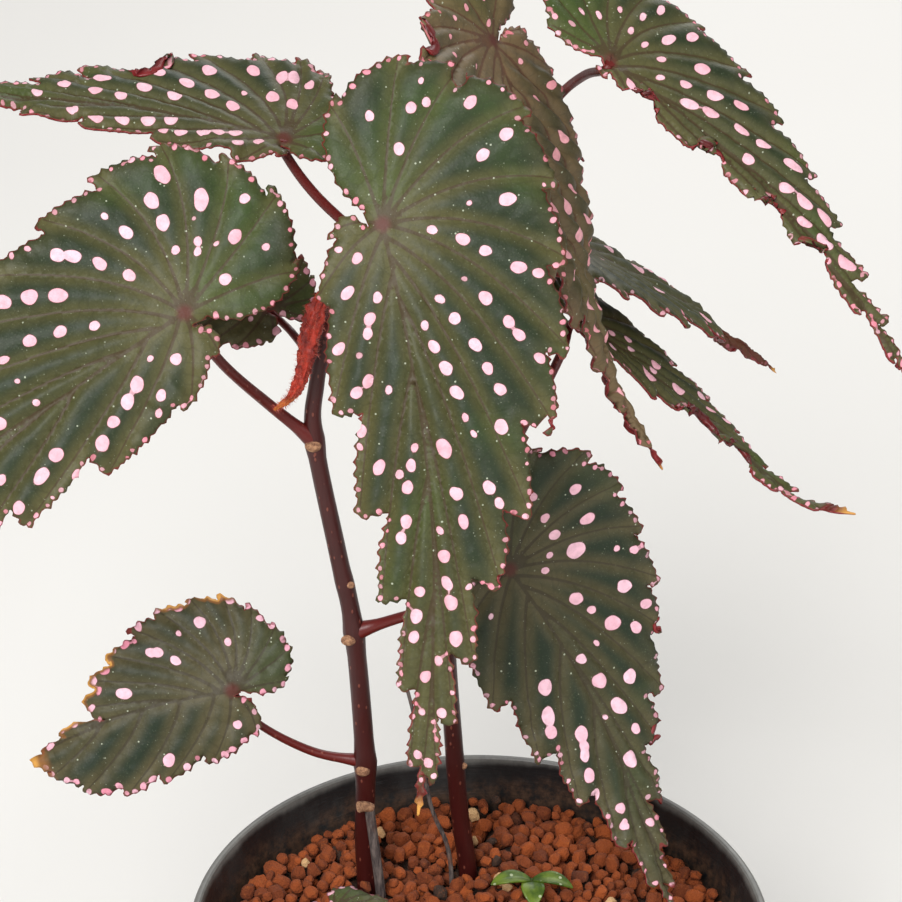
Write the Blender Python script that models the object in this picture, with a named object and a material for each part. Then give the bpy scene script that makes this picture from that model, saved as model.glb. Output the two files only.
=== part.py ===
"""A spotted cane begonia growing in a round plastic nursery pot of clay granules.

Two canes stand in plain holes in the granules. Each cane carries its leaf stalks as one
piece, and each blade sits on the end of its stalk. Metres, +Z up, and the origin is the
middle of the pot's underside. The photographed side of the plant faces -Y.
"""

import math
import random

import bpy
import bmesh
import numpy as np
from mathutils import Vector
from mathutils.geometry import delaunay_2d_cdt

MM = 0.001
GAP = 0.3 * MM  # clearance between pieces that touch

# Pot
RIM_RADIUS = 65 * MM
POT_HEIGHT = 110 * MM
WALL = 1.3 * MM
LIP_HEIGHT = 7 * MM
LIP_OVERHANG = 1.2 * MM
FLOOR_THICKNESS = 1.6 * MM
FLOOR_INNER_RADIUS = 44 * MM
FACETS = 48
DRAIN_HOLES = 8
DRAIN_RADIUS = 4 * MM
DRAIN_CIRCLE = 33 * MM

# Growing medium
SOIL_LEVEL = 100.5 * MM
GRANULE_SPACING = 8.4 * MM
GRANULE_RADIUS = 3.0 * MM
GRANULE_RISE = 1.5 * MM
GRANULE_CORNERS = 5

# Blades
BLADE_THICKNESS = 0.7 * MM
STALK_TIP_RADIUS = 0.9 * MM

RANDOM = random.Random(7)

# Half outlines of a blade from the notch at the stalk to the drip tip, as shares of the
# length from stalk to tip: first across the blade, then along it. The broad half runs
# back over the top of the leaf before it comes down to the tip.
BROAD_HALF = [
    (-0.014, -0.012), (-0.045, -0.030), (-0.078, -0.075), (-0.092, -0.150),
    (-0.060, -0.230), (0.030, -0.275), (0.125, -0.266), (0.215, -0.228),
    (0.278, -0.150), (0.303, -0.040), (0.310, 0.080), (0.308, 0.200),
    (0.285, 0.320), (0.243, 0.430), (0.200, 0.540), (0.148, 0.640),
    (0.104, 0.740), (0.066, 0.840), (0.032, 0.930), (0.000, 1.000),
]
NARROW_HALF = [
    (-0.014, 0.004), (-0.060, -0.018), (-0.098, 0.030), (-0.116, 0.120),
    (-0.112, 0.230), (-0.094, 0.340), (-0.074, 0.440), (-0.056, 0.540),
    (-0.034, 0.640), (-0.018, 0.740), (-0.010, 0.840), (-0.006, 0.930),
    (0.000, 1.000),
]
ROUND_BROAD_HALF = [
    (-0.014, -0.012), (-0.045, -0.090), (-0.065, -0.170), (-0.030, -0.260),
    (0.074, -0.310), (0.180, -0.300), (0.335, -0.205), (0.430, -0.090),
    (0.463, 0.060), (0.462, 0.210), (0.430, 0.340), (0.370, 0.440),
    (0.290, 0.570), (0.200, 0.670), (0.110, 0.760), (0.050, 0.860),
    (0.000, 1.000),
]
ROUND_NARROW_HALF = [
    (-0.014, 0.004), (-0.060, -0.050), (-0.140, -0.085), (-0.215, -0.050),
    (-0.270, 0.060), (-0.290, 0.240), (-0.300, 0.420), (-0.308, 0.560),
    (-0.280, 0.710), (-0.200, 0.820), (-0.110, 0.920), (0.000, 1.000),
]

# Veins: the share of the half outline where each reaches the edge, the share of the
# midrib where it starts, and how deep the edge steps in behind the tooth it ends in.
BROAD_VEINS = [
    (0.12, 0.00, 0.010), (0.20, 0.00, 0.012), (0.26, 0.00, 0.014), (0.33, 0.00, 0.018),
    (0.40, 0.00, 0.018), (0.47, 0.00, 0.020), (0.55, 0.00, 0.026), (0.62, 0.02, 0.036),
    (0.70, 0.05, 0.032), (0.77, 0.12, 0.032), (0.84, 0.26, 0.028), (0.90, 0.42, 0.022),
    (0.955, 0.62, 0.014),
]
NARROW_VEINS = [
    (0.08, 0.00, 0.010), (0.18, 0.00, 0.014), (0.355, 0.01, 0.030), (0.515, 0.08, 0.032),
    (0.65, 0.24, 0.028), (0.79, 0.42, 0.020), (0.91, 0.62, 0.012),
]
MIDRIB_BOW = 0.055  # how far the midrib bows towards the broad half, as a share of length
VEIN_BACKSWEEP = 0.20  # veins leave the midrib wide and then bend towards the tip
NOTCH_SHARE = 0.12  # share of a tooth taken by the step behind the one before it


def smooth_curve(points, steps):
    """Points on a Catmull-Rom curve through the given ones, with `steps` to each span."""
    points = np.array(points, float)
    ends = np.vstack([2 * points[0] - points[1], points, 2 * points[-1] - points[-2]])
    found = []
    for a, b, c, d in zip(ends, ends[1:], ends[2:], ends[3:]):
        for t in np.arange(steps) / steps:
            found.append(
                0.5 * (2 * b + (c - a) * t + (2 * a - 5 * b + 4 * c - d) * t**2
                       + (3 * b - a - 3 * c + d) * t**3)
            )
    return np.array(found + [points[-1]])


def arc_shares(curve):
    steps = np.linalg.norm(np.diff(curve, axis=0), axis=1)
    run = np.concatenate([[0], np.cumsum(steps)])
    return run / run[-1]


def point_at(curve, shares, share):
    return np.array([np.interp(share, shares, curve[:, k]) for k in range(2)])


def toothed_half(curve, veins, inward_sign, steps):
    """One half of the margin, notch to tip, stepping in behind the tooth of each vein."""
    shares = arc_shares(curve)
    stops = [stop for stop, _, _ in veins]
    depths = [depth for _, _, depth in veins]
    margin = []
    for start, stop, depth in zip([0.0] + stops, stops + [1.0], [0.006] + depths):
        for u in steps:
            share = start + (stop - start) * u
            place = point_at(curve, shares, share)
            ahead = point_at(curve, shares, min(share + 0.01, 1)) - place
            inward = inward_sign * np.array([-ahead[1], ahead[0]])
            inward /= max(np.linalg.norm(inward), 1e-9)
            if u < NOTCH_SHARE:
                step_in = depth * u / NOTCH_SHARE
            else:
                step_in = depth * ((1 - u) / (1 - NOTCH_SHARE)) ** 1.3
            margin.append(place + inward * step_in)
    return margin


def midrib_point(share):
    return np.array([MIDRIB_BOW * math.sin(math.pi * share), share])


def vein_line(first, last):
    reach = np.linalg.norm(last - first)
    bend = (first + last) / 2 + np.array([0, -VEIN_BACKSWEEP * reach])
    t = np.linspace(0, 1, 9)[:, None]
    return (1 - t) ** 2 * first + 2 * t * (1 - t) * bend + t**2 * last


def distance_to_line(points, line):
    nearest = np.full(len(points), np.inf)
    for a, b in zip(line, line[1:]):
        run = b - a
        t = np.clip(((points - a) @ run) / (run @ run), 0, 1)
        nearest = np.minimum(nearest, np.linalg.norm(points - a - t[:, None] * run, axis=1))
    return nearest


def inner_points(lines, margin, spacing):
    """Points along each vein and between neighbouring veins, clear of the margin."""
    around = sorted(lines, key=lambda line: math.atan2(*(line[-1] - line[0])))
    found = []
    for line, after in zip(around, around[1:]):
        for share in (0.22, 0.42, 0.62, 0.82):
            found.append(point_at(line, np.linspace(0, 1, len(line)), share))
        for share in (0.5, 0.88):
            here = point_at(line, np.linspace(0, 1, len(line)), share)
            there = point_at(after, np.linspace(0, 1, len(after)), share)
            found.append((here + there) / 2)
    for share in np.linspace(0.05, 0.95, 13):
        found.append(midrib_point(share))
    found.append(np.array([0.0, 0.0]))
    ring = np.vstack([margin, margin[:1]])
    kept = []
    for point in found:
        clear_of_edge = distance_to_line(point[None], ring)[0] > 0.008
        spaced = all(np.linalg.norm(point - other) > spacing for other in kept)
        if clear_of_edge and spaced:
            kept.append(point)
    return kept


class Shape:
    """An outline with its veins, and how finely it is cut into triangles."""

    def __init__(self, broad, narrow, tooth_steps, spacing):
        self.tooth_steps = tooth_steps
        self.spacing = spacing
        self.halves = [
            (smooth_curve(broad, 12), BROAD_VEINS, 1),
            (smooth_curve(narrow, 12), NARROW_VEINS, -1),
        ]
        self.lines = [np.array([midrib_point(share) for share in np.linspace(0, 1, 15)])]
        for curve, veins, _ in self.halves:
            shares = arc_shares(curve)
            for stop, start, _ in veins:
                self.lines.append(vein_line(midrib_point(start), point_at(curve, shares, stop)))
        self.flat, self.faces = self.triangles()
        away = np.sort([distance_to_line(self.flat, line) for line in self.lines], axis=0)
        # 0 on a vein and 1 half way to the next one
        self.rise = np.sin(math.pi * away[0] / (away[0] + away[1] + 1e-6))

    def triangles(self):
        broad, narrow = (toothed_half(*half, self.tooth_steps) for half in self.halves)
        margin = np.array(broad + [(0.0, 1.0)] + narrow[::-1])
        inside = inner_points(self.lines, margin, self.spacing)
        points = [Vector(p) for p in margin] + [Vector(p) for p in inside]
        made = delaunay_2d_cdt(points, [], [list(range(len(margin)))], 1, 1e-6)
        return np.array([tuple(v) for v in made[0]]), [tuple(f) for f in made[2]]


class Leaf:
    """One leaf: where its blade starts and ends, which way it faces, and how it is bent."""

    def __init__(self, name, base, tip, facing, side, shape="long", width=1.0, narrow=1.0,
                 lobe=1.0, arch=0.05, fold=0.15, pleat=0.014, twist=0.0, curl=0.0, stalk=(),
                 stalk_radius=1.1):
        self.name = name
        self.base = Vector(base) * MM
        self.tip = Vector(tip) * MM
        self.side = side
        self.shape = shape
        self.width = width
        self.narrow = narrow
        self.lobe = lobe
        self.arch = arch
        self.fold = fold
        self.pleat = pleat
        self.twist = math.radians(twist)
        self.curl = curl
        self.stalk = [Vector(point) * MM for point in stalk]
        self.stalk_radius = stalk_radius * MM
        run = self.tip - self.base
        self.length = run.length
        self.along = run.normalized()
        facing = Vector(facing)
        self.up = (facing - facing.dot(self.along) * self.along).normalized()
        self.across = side * self.up.cross(self.along)
        self.square = (self.up - 4 * arch * self.along).normalized()


# Sizes and places in millimetres. Side +1 has the broad half on the left as seen along
# the blade from above, and -1 is its mirror image.
LEAVES = {
    leaf.name: leaf
    for leaf in (
        Leaf("leaf_front", (-20, 4, 278), (-13, -45, 170), (0.0, -0.86, 0.5), 1,
             width=0.96, arch=0.03,
             stalk=((-32.8, 28.6, 242), (-29, 27, 254), (-23, 13, 270))),
        Leaf("leaf_left", (-60, 4, 258.5), (-138, -32, 192.5), (0.0, -0.88, 0.48), -1,
             narrow=1.09, arch=0.03,
             stalk=((-35.8, 28, 216.5), (-44.8, 24, 227), (-53.7, 14, 242))),
        Leaf("leaf_upper_left", (-41, 38, 282.5), (-126, 34, 294), (0.1, -0.28, 0.96), -1,
             narrow=0.83, lobe=0.5, arch=0.0, fold=0.0, twist=-17,
             stalk=((-6, 36, 236), (-16, 38, 250), (-34, 39, 268))),
        Leaf("leaf_top", (2.5, 58, 296), (35.5, 31, 206), (0.74, -0.38, 0.56), -1,
             width=1.04, narrow=1.28, lobe=0.5, arch=0.026, fold=-0.16, twist=26, pleat=0.018,
             curl=-0.055,
             stalk=((-2.5, 37, 250), (-2, 42, 264), (0.5, 53, 284))),
        Leaf("leaf_upper_right", (26.5, 40, 298.4), (90.5, 13, 236), (0.45, -0.5, 0.74), 1,
             width=0.9, narrow=0.5, lobe=0.75, arch=0.03, fold=0.05, twist=-2,
             stalk=((-4, 36, 238), (0, 50, 254), (8, 66, 266), (16.5, 71, 277.5), (22, 61, 287))),
        Leaf("leaf_right_high", (19, 77, 242), (72.5, 104, 194.5), (0.45, 0.1, 0.88), -1,
             narrow=1.25, lobe=0.85, arch=0.025, fold=0.0,
             stalk=((-5, 35, 206), (-4, 48, 226), (0, 61, 241), (10, 71, 242))),
        Leaf("leaf_right_low", (22, 60, 230), (79.5, 49, 180), (0.54, 0.06, 0.84), 1,
             narrow=0.84, lobe=0.7, arch=0.0, fold=0.0, twist=7.5, curl=-0.12,
             stalk=((-6, 34, 186), (4, 43, 200), (17, 55, 221))),
        Leaf("leaf_lower_right", (6, 8, 196), (43, -12, 120.5), (0.04, -0.79, 0.62), 1,
             width=1.13, narrow=1.38, arch=-0.045, fold=0.17, twist=-29,
             stalk=((-27.8, 28, 168), (-20, 26, 172), (-4, 15, 185))),
        Leaf("leaf_lower_left", (-55, 20, 157.5), (-100, 12.5, 144), (0.0, -0.88, 0.48), -1,
             shape="round", arch=0.02,
             stalk=((-26, 28, 133), (-38, 27, 136.5), (-50, 23, 147)), stalk_radius=0.9),
        Leaf("leaf_behind_left", (-46.5, 50, 237.5), (-79, 51, 240), (0.0, -0.88, 0.48), -1,
             shape="round", stalk=((-34, 28.5, 236), (-36, 38, 231), (-42, 50.5, 232)),
             stalk_radius=0.9),
        Leaf("leaf_low_front", (-32.5, -1, 113), (-36.5, -29, 106), (0.0, -0.25, 0.97), 1,
             shape="round", width=1.1,
             stalk=((-27, 12, 62), (-27, 12, 97), (-27, 11.8, 105), (-29.5, 6, 110.5)),
             stalk_radius=0.9),
    )
}


def clear_scene():
    for obj in list(bpy.data.objects):
        bpy.data.objects.remove(obj)


def finish_material(name, colour, roughness, metallic=0.0):
    material = bpy.data.materials.new(name)
    material.use_nodes = True
    shader = material.node_tree.nodes["Principled BSDF"]
    shader.inputs["Base Color"].default_value = (*colour, 1)
    shader.inputs["Roughness"].default_value = roughness
    shader.inputs["Metallic"].default_value = metallic
    return material


def add_object(name, mesh, material):
    obj = bpy.data.objects.new(name, mesh)
    bpy.context.scene.collection.objects.link(obj)
    obj.data.materials.append(material)
    return obj


def bent_blade(leaf, flat, rise):
    """The flat blade laid out in space: arched, folded, pleated, twisted and curled."""
    across, along = flat[:, 0].copy(), flat[:, 1].copy()
    rib = MIDRIB_BOW * np.sin(math.pi * np.clip(along, 0, 1))
    from_rib = (across - rib) * leaf.width
    from_rib[from_rib < 0] *= leaf.narrow
    across = rib * leaf.width + from_rib
    along = np.where(along < 0, along * leaf.lobe, along)
    spread = np.hypot(across, along)
    height = leaf.arch * 4 * along * (1 - along)
    height -= leaf.fold * np.abs(from_rib) ** 1.5
    height += leaf.pleat * rise * np.clip(spread / 0.25, 0, 1)
    height -= leaf.curl * np.clip((along - 0.75) / 0.25, 0, 1) ** 2
    turn = leaf.twist * along
    sideways = across * np.cos(turn) - height * np.sin(turn)
    outward = across * np.sin(turn) + height * np.cos(turn)
    base = np.array(leaf.base)
    return base + leaf.length * (
        np.outer(sideways, leaf.across) + np.outer(along, leaf.along) + np.outer(outward, leaf.up)
    )


def make_blade(leaf, shape, material):
    points = bent_blade(leaf, shape.flat, shape.rise)
    mesh = bpy.data.meshes.new(leaf.name)
    # The mirror image turns its faces round, so that the upper face stays the upper one.
    turned = [face[::leaf.side] for face in shape.faces]
    mesh.from_pydata(points.tolist(), [], turned)
    blade = add_object(leaf.name, mesh, material)
    thicken = blade.modifiers.new("thickness", "SOLIDIFY")
    thicken.thickness = BLADE_THICKNESS
    thicken.offset = 0
    return blade


def rod(name, points, radii, material, sides_step=2, steps=3):
    """A tapered round rod along a smooth curve through the points, as a closed mesh."""
    path = smooth_curve(points, steps)
    spread = np.interp(np.linspace(0, 1, len(path)), np.linspace(0, 1, len(radii)), radii)
    curve = bpy.data.curves.new(name, "CURVE")
    curve.dimensions = "3D"
    curve.bevel_depth = 1
    curve.bevel_resolution = sides_step
    curve.use_fill_caps = True
    spline = curve.splines.new("POLY")
    spline.points.add(len(path) - 1)
    for place, co, radius in zip(spline.points, path, spread):
        place.co = (*co, 1)
        place.radius = radius
    source = bpy.data.objects.new(name, curve)
    bpy.context.scene.collection.objects.link(source)
    mesh = bpy.data.meshes.new_from_object(source)
    bpy.data.objects.remove(source)
    work = bmesh.new()
    work.from_mesh(mesh)
    bmesh.ops.remove_doubles(work, verts=work.verts, dist=1e-6)
    bmesh.ops.recalc_face_normals(work, faces=work.faces)
    work.to_mesh(mesh)
    work.free()
    mesh.materials.clear()
    return add_object(name, mesh, material)


def fuse(body, pieces):
    """Joins the pieces to the body with one Boolean union, and removes them."""
    group = bpy.data.collections.new(body.name + "_pieces")
    for piece in pieces:
        group.objects.link(piece)
    union = body.modifiers.new("union", "BOOLEAN")
    union.operation = "UNION"
    union.operand_type = "COLLECTION"
    union.collection = group
    union.solver = "EXACT"
    bpy.context.view_layer.update()
    graph = bpy.context.evaluated_depsgraph_get()
    body.data = bpy.data.meshes.new_from_object(body.evaluated_get(graph))
    body.modifiers.clear()
    for piece in pieces:
        bpy.data.objects.remove(piece)
    bpy.data.collections.remove(group)


def leaf_stalk(leaf, material):
    """The stalk from its cane to just under the blade, which it meets square on."""
    under = leaf.base - leaf.square * (BLADE_THICKNESS / 2 + 1.5 * GAP)
    points = [*leaf.stalk, under - leaf.square * 3 * MM, under - leaf.square * MM, under]
    thick = leaf.stalk_radius
    return rod(leaf.name + "_stalk", points, (thick * 1.25, thick, thick * 0.9, STALK_TIP_RADIUS),
               material, sides_step=1, steps=3)


def pot_profile():
    """Radius and height pairs round the wall: up the outside, over the lip, down the inside."""
    inner_top = RIM_RADIUS - LIP_OVERHANG - WALL * 0.4
    lip_base = POT_HEIGHT - LIP_HEIGHT
    slope = (inner_top - FLOOR_INNER_RADIUS) / (POT_HEIGHT - FLOOR_THICKNESS)

    def inner_at(height):
        return FLOOR_INNER_RADIUS + slope * (height - FLOOR_THICKNESS)

    outer = [
        (0, 0),
        (FLOOR_INNER_RADIUS - 1 * MM, 0),
        (FLOOR_INNER_RADIUS + WALL * 0.7, 1.2 * MM),
        (inner_at(lip_base) + WALL, lip_base - 1 * MM),
        (RIM_RADIUS, lip_base + 1 * MM),
        (RIM_RADIUS, POT_HEIGHT - 0.8 * MM),
        (RIM_RADIUS - 0.7 * MM, POT_HEIGHT),
    ]
    inner = [
        (inner_top + 0.3 * MM, POT_HEIGHT),
        (inner_top, POT_HEIGHT - 0.6 * MM),
        (inner_at(SOIL_LEVEL), SOIL_LEVEL),
        (FLOOR_INNER_RADIUS, FLOOR_THICKNESS),
        (0, FLOOR_THICKNESS),
    ]
    return outer + inner, inner_at


def turned_mesh(name, profile):
    """A solid of revolution round Z from a profile that starts and ends on the axis."""
    work = bmesh.new()
    rings = []
    for radius, height in profile:
        if radius == 0:
            rings.append([work.verts.new((0, 0, height))])
            continue
        angles = [2 * math.pi * k / FACETS for k in range(FACETS)]
        places = [(radius * math.cos(a), radius * math.sin(a), height) for a in angles]
        rings.append([work.verts.new(place) for place in places])
    for low, high in zip(rings, rings[1:]):
        for k in range(FACETS):
            after = (k + 1) % FACETS
            if len(low) == 1:
                work.faces.new((low[0], high[after], high[k]))
            elif len(high) == 1:
                work.faces.new((low[k], low[after], high[0]))
            else:
                work.faces.new((low[k], low[after], high[after], high[k]))
    bmesh.ops.recalc_face_normals(work, faces=work.faces)
    mesh = bpy.data.meshes.new(name)
    work.to_mesh(mesh)
    work.free()
    return mesh


def cut(body, cutter):
    difference = body.modifiers.new("cut_" + cutter.name, "BOOLEAN")
    difference.operation = "DIFFERENCE"
    difference.object = cutter
    difference.solver = "EXACT"
    cutter.hide_render = True
    cutter.display_type = "WIRE"


def make_pot(material):
    profile, _ = pot_profile()
    pot = add_object("pot", turned_mesh("pot", profile), material)
    for k in range(DRAIN_HOLES):
        angle = 2 * math.pi * (k + 0.5) / DRAIN_HOLES
        bpy.ops.mesh.primitive_cylinder_add(
            vertices=12, radius=DRAIN_RADIUS, depth=FLOOR_THICKNESS * 4,
            location=(DRAIN_CIRCLE * math.cos(angle), DRAIN_CIRCLE * math.sin(angle), 0),
        )
        hole = bpy.context.object
        hole.name = f"drain_cutter_{k}"
        cut(pot, hole)
    return pot


def granule_seeds(reach):
    """Middles of the surface granules, on a shaken triangular grid."""
    row_step = GRANULE_SPACING * math.sqrt(3) / 2
    rows = int(reach / row_step) + 1
    found = []
    for row in range(-rows, rows + 1):
        shift = GRANULE_SPACING / 2 if row % 2 else 0
        for column in range(-rows, rows + 1):
            x = column * GRANULE_SPACING + shift + RANDOM.uniform(-1, 1) * 0.9 * MM
            y = row * row_step + RANDOM.uniform(-1, 1) * 0.9 * MM
            if math.hypot(x, y) < reach:
                found.append((x, y))
    return found


def make_soil(material):
    """The granules as one solid: a plug that fits the pot, with its top raised into lumps."""
    _, inner_at = pot_profile()
    edge = inner_at(SOIL_LEVEL) - GAP * 1.5
    foot = FLOOR_INNER_RADIUS - GAP * 1.5
    flat, heights = [], []
    for k in range(FACETS):
        angle = 2 * math.pi * k / FACETS
        flat.append((edge * math.cos(angle), edge * math.sin(angle)))
        heights.append(SOIL_LEVEL - GRANULE_RISE)
    seeds = granule_seeds(edge - GRANULE_RADIUS - 1.2 * MM)
    for x, y in seeds:
        top = SOIL_LEVEL + RANDOM.uniform(0.1, 1.0) * GRANULE_RISE
        turn = RANDOM.uniform(0, math.pi)
        flat.append((x, y))
        heights.append(top + 0.6 * MM)
        for k in range(GRANULE_CORNERS):
            angle = turn + 2 * math.pi * k / GRANULE_CORNERS
            reach = GRANULE_RADIUS * RANDOM.uniform(0.85, 1.15)
            flat.append((x + reach * math.cos(angle), y + reach * math.sin(angle)))
            heights.append(top - RANDOM.uniform(0, 0.5) * MM)
    between = delaunay_2d_cdt([Vector(s) for s in seeds], [], [], 0, 1e-6)
    for face in between[2]:
        a, b, c = (between[0][k] for k in face)
        middle = (a + b + c) / 3
        if max((a - b).length, (b - c).length, (c - a).length) < 1.5 * GRANULE_SPACING:
            flat.append(tuple(middle))
            heights.append(SOIL_LEVEL - GRANULE_RISE)
    made = delaunay_2d_cdt([Vector(p) for p in flat], [], [], 0, 1e-7)
    points = [(*made[0][k], heights[made[3][k][0]]) for k in range(len(made[0]))]
    faces = [tuple(face) for face in made[2]]
    floor = FLOOR_THICKNESS + GAP
    first = len(points)
    for k in range(FACETS):
        angle = 2 * math.pi * k / FACETS
        points.append((foot * math.cos(angle), foot * math.sin(angle), floor))
    points.append((0, 0, floor))
    for k in range(FACETS):
        after = (k + 1) % FACETS
        faces.append((k, first + k, first + after, after))
        faces.append((first + k, first + FACETS, first + after))
    mesh = bpy.data.meshes.new("soil")
    mesh.from_pydata(points, [], faces)
    work = bmesh.new()
    work.from_mesh(mesh)
    bmesh.ops.recalc_face_normals(work, faces=work.faces)
    work.to_mesh(mesh)
    work.free()
    return add_object("soil", mesh, material)


# Points, radii, the leaves carried, and the scars and buds as a place with a radius, mm.
CANES = {
    "cane_left": (
        [(-26.1, 28.4, 60), (-26.1, 28, 97), (-26.5, 28, 112), (-26, 28, 133),
         (-28, 28, 168), (-31.2, 28, 188), (-35.8, 28, 217), (-35, 28, 230), (-32.5, 28.6, 243)],
        (2.2, 2.3, 2.2, 2.3, 2.1, 2.0, 1.9, 1.7, 1.2),
        ("leaf_front", "leaf_left", "leaf_lower_right", "leaf_lower_left", "leaf_behind_left"),
        [((-26.5, 26.6, 132), 1.7), ((-29.2, 26.8, 167), 1.7), ((-36, 26.8, 217), 1.7),
         ((-28.6, 27.6, 181), 1.1)],
    ),
    "cane_right": (
        [(-1.5, 33, 60), (-2.4, 33, 97), (-4.2, 33, 113), (-5.8, 33, 135), (-7.4, 33.5, 165),
         (-6, 34, 190), (-5, 35, 210), (-5.5, 36, 235), (-2.5, 37, 252)],
        (2.2, 2.2, 2.1, 2.1, 2.0, 1.9, 1.8, 1.7, 1.3),
        ("leaf_upper_left", "leaf_top", "leaf_upper_right", "leaf_right_high", "leaf_right_low"),
        [((-3.8, 32, 129), 1.2)],
    ),
}

# Things that stand in the granules on their own: points and radii in millimetres.
STUB = [(-21.5, 23.5, 70), (-22.6, 23.5, 97), (-25.1, 23.5, 123.5)]
STUB_CUT = [(-24.6, 23.6, 123.2), (-26, 22.8, 124.2), (-27.4, 22, 124.6)]
STUB_RADIUS = 1.15
DRY_STALK = [(-6.2, 29, 78), (-6.2, 29.2, 97), (-7.3, 30, 108), (-11.2, 30, 120), (-14.6, 30, 143),
             (-17.4, 30, 156)]
YOUNG_LEAF = [
    (-32.8, 20.5, 255), (-35.4, 20, 247), (-37.2, 19.5, 238), (-39.6, 19.2, 232), (-43.6, 19, 228.5),
]
YOUNG_LEAF_STALK = [
    (-33, 28.5, 243), (-32, 27, 252), (-31.8, 23.5, 258), (-32.2, 21, 257.4), (-32.7, 20.5, 255.4),
]
SEEDLING_STEM = [(12, 21.5, 84), (12, 21.5, 100), (12.2, 20.5, 105)]
SEEDLING_LEAVES = [
    ((6.8, 18.5, 107.6), (4.6, 2.6, 0.7), 20), ((17.2, 18.5, 107.2), (4.6, 2.4, 0.7), -25),
    ((12.4, 15.6, 106.4), (2.6, 4.2, 0.7), 5),
]


def in_mm(points):
    return [Vector(point) * MM for point in points]


def bump(place, radius, material):
    bpy.ops.mesh.primitive_ico_sphere_add(
        subdivisions=1, radius=radius * MM, location=Vector(place) * MM
    )
    knob = bpy.context.object
    knob.data.materials.append(material)
    return knob


def make_cane(name, material):
    points, radii, carried, bumps = CANES[name]
    cane = rod(name, in_mm(points), [r * MM for r in radii], material)
    pieces = [leaf_stalk(LEAVES[leaf], material) for leaf in carried]
    pieces += [bump(place, radius, material) for place, radius in bumps]
    if name == "cane_left":
        pieces.append(rod("young_stalk", in_mm(YOUNG_LEAF_STALK), (1.0 * MM, 0.8 * MM), material,
                          sides_step=1, steps=2))
    fuse(cane, pieces)


def make_stub(material):
    stub = rod("old_stub", in_mm(STUB), (STUB_RADIUS * MM,) * 2, material, steps=2)
    end = rod("stub_end", in_mm(STUB_CUT), (STUB_RADIUS * 1.1 * MM,) * 2, material, steps=1)
    fuse(stub, [end])


def make_seedling(material):
    stem = rod("seedling", in_mm(SEEDLING_STEM), (1.0 * MM, 0.8 * MM), material, sides_step=1, steps=2)
    leaves = []
    for place, half_size, tilt in SEEDLING_LEAVES:
        leaf = bump(place, 1, material)
        leaf.scale = half_size
        leaf.rotation_euler = (0, math.radians(tilt), 0)
        foot = Vector((12.2, 20.5, 104.2))
        leaves += [leaf, rod("seed_stalk", in_mm([foot, (foot + Vector(place)) / 2, place]),
                             (0.6 * MM,) * 2, material, sides_step=1, steps=1)]
    fuse(stem, leaves)


def bore(soil, points, radius, material):
    """A plain hole in the granules, from just under a foot to clear of the lumps."""
    foot, top = Vector(points[0]), Vector(points[1])
    away = (top - foot).normalized()
    bore_points = in_mm([foot - away * 0.3, top, top + away * 12])
    cut(soil, rod("bore", bore_points, (radius * MM,) * 2, material, steps=1))


def main():
    clear_scene()
    stem_red = finish_material("stem_red", (0.10, 0.012, 0.010), 0.45)
    blade_green = finish_material("blade_green", (0.045, 0.065, 0.035), 0.5)
    young_red = finish_material("young_red", (0.45, 0.03, 0.015), 0.6)
    seedling_green = finish_material("seedling_green", (0.18, 0.32, 0.04), 0.5)
    dead_grey = finish_material("dead_grey", (0.10, 0.09, 0.09), 0.8)
    pot_black = finish_material("pot_black", (0.02, 0.02, 0.02), 0.5)
    clay = finish_material("clay", (0.25, 0.09, 0.03), 0.95)

    make_pot(pot_black)
    soil = make_soil(clay)
    shapes = {
        "long": Shape(BROAD_HALF, NARROW_HALF, (0.0, 0.12, 0.42, 0.74), 0.034),
        "round": Shape(ROUND_BROAD_HALF, ROUND_NARROW_HALF, (0.0, 0.12, 0.56), 0.06),
    }
    for leaf in LEAVES.values():
        make_blade(leaf, shapes[leaf.shape], blade_green)
    for name, (points, radii, _, _) in CANES.items():
        make_cane(name, stem_red)
        bore(soil, points, max(radii[:2]) + 0.35, clay)
    leaf_stalk(LEAVES["leaf_low_front"], stem_red)
    bore(soil, [point / MM for point in LEAVES["leaf_low_front"].stalk], 1.5, clay)
    rod("leaf_unfolding", in_mm(YOUNG_LEAF), [r * MM for r in (0.9, 2.3, 2.0, 1.1, 0.5)], young_red)
    make_stub(dead_grey)
    bore(soil, STUB, STUB_RADIUS + 0.4, clay)
    rod("dry_stalk", in_mm(DRY_STALK), (0.6 * MM, 0.4 * MM), dead_grey, sides_step=1, steps=2)
    bore(soil, DRY_STALK, 1.0, clay)
    make_seedling(seedling_green)
    bore(soil, SEEDLING_STEM, 1.4, clay)


main()
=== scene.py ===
# %% [markdown]
# A potted begonia
#
# The plant is a young cane begonia: two dark red canes in a black nursery pot of baked clay
# granules, with long, lopsided, spotted leaves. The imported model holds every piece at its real
# size and place, but its solids are too coarse to look at closely. This notebook stands a finer
# piece in for each of them and gives it its finish. The frame is loaded first, because every
# later step has to agree with it.

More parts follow.
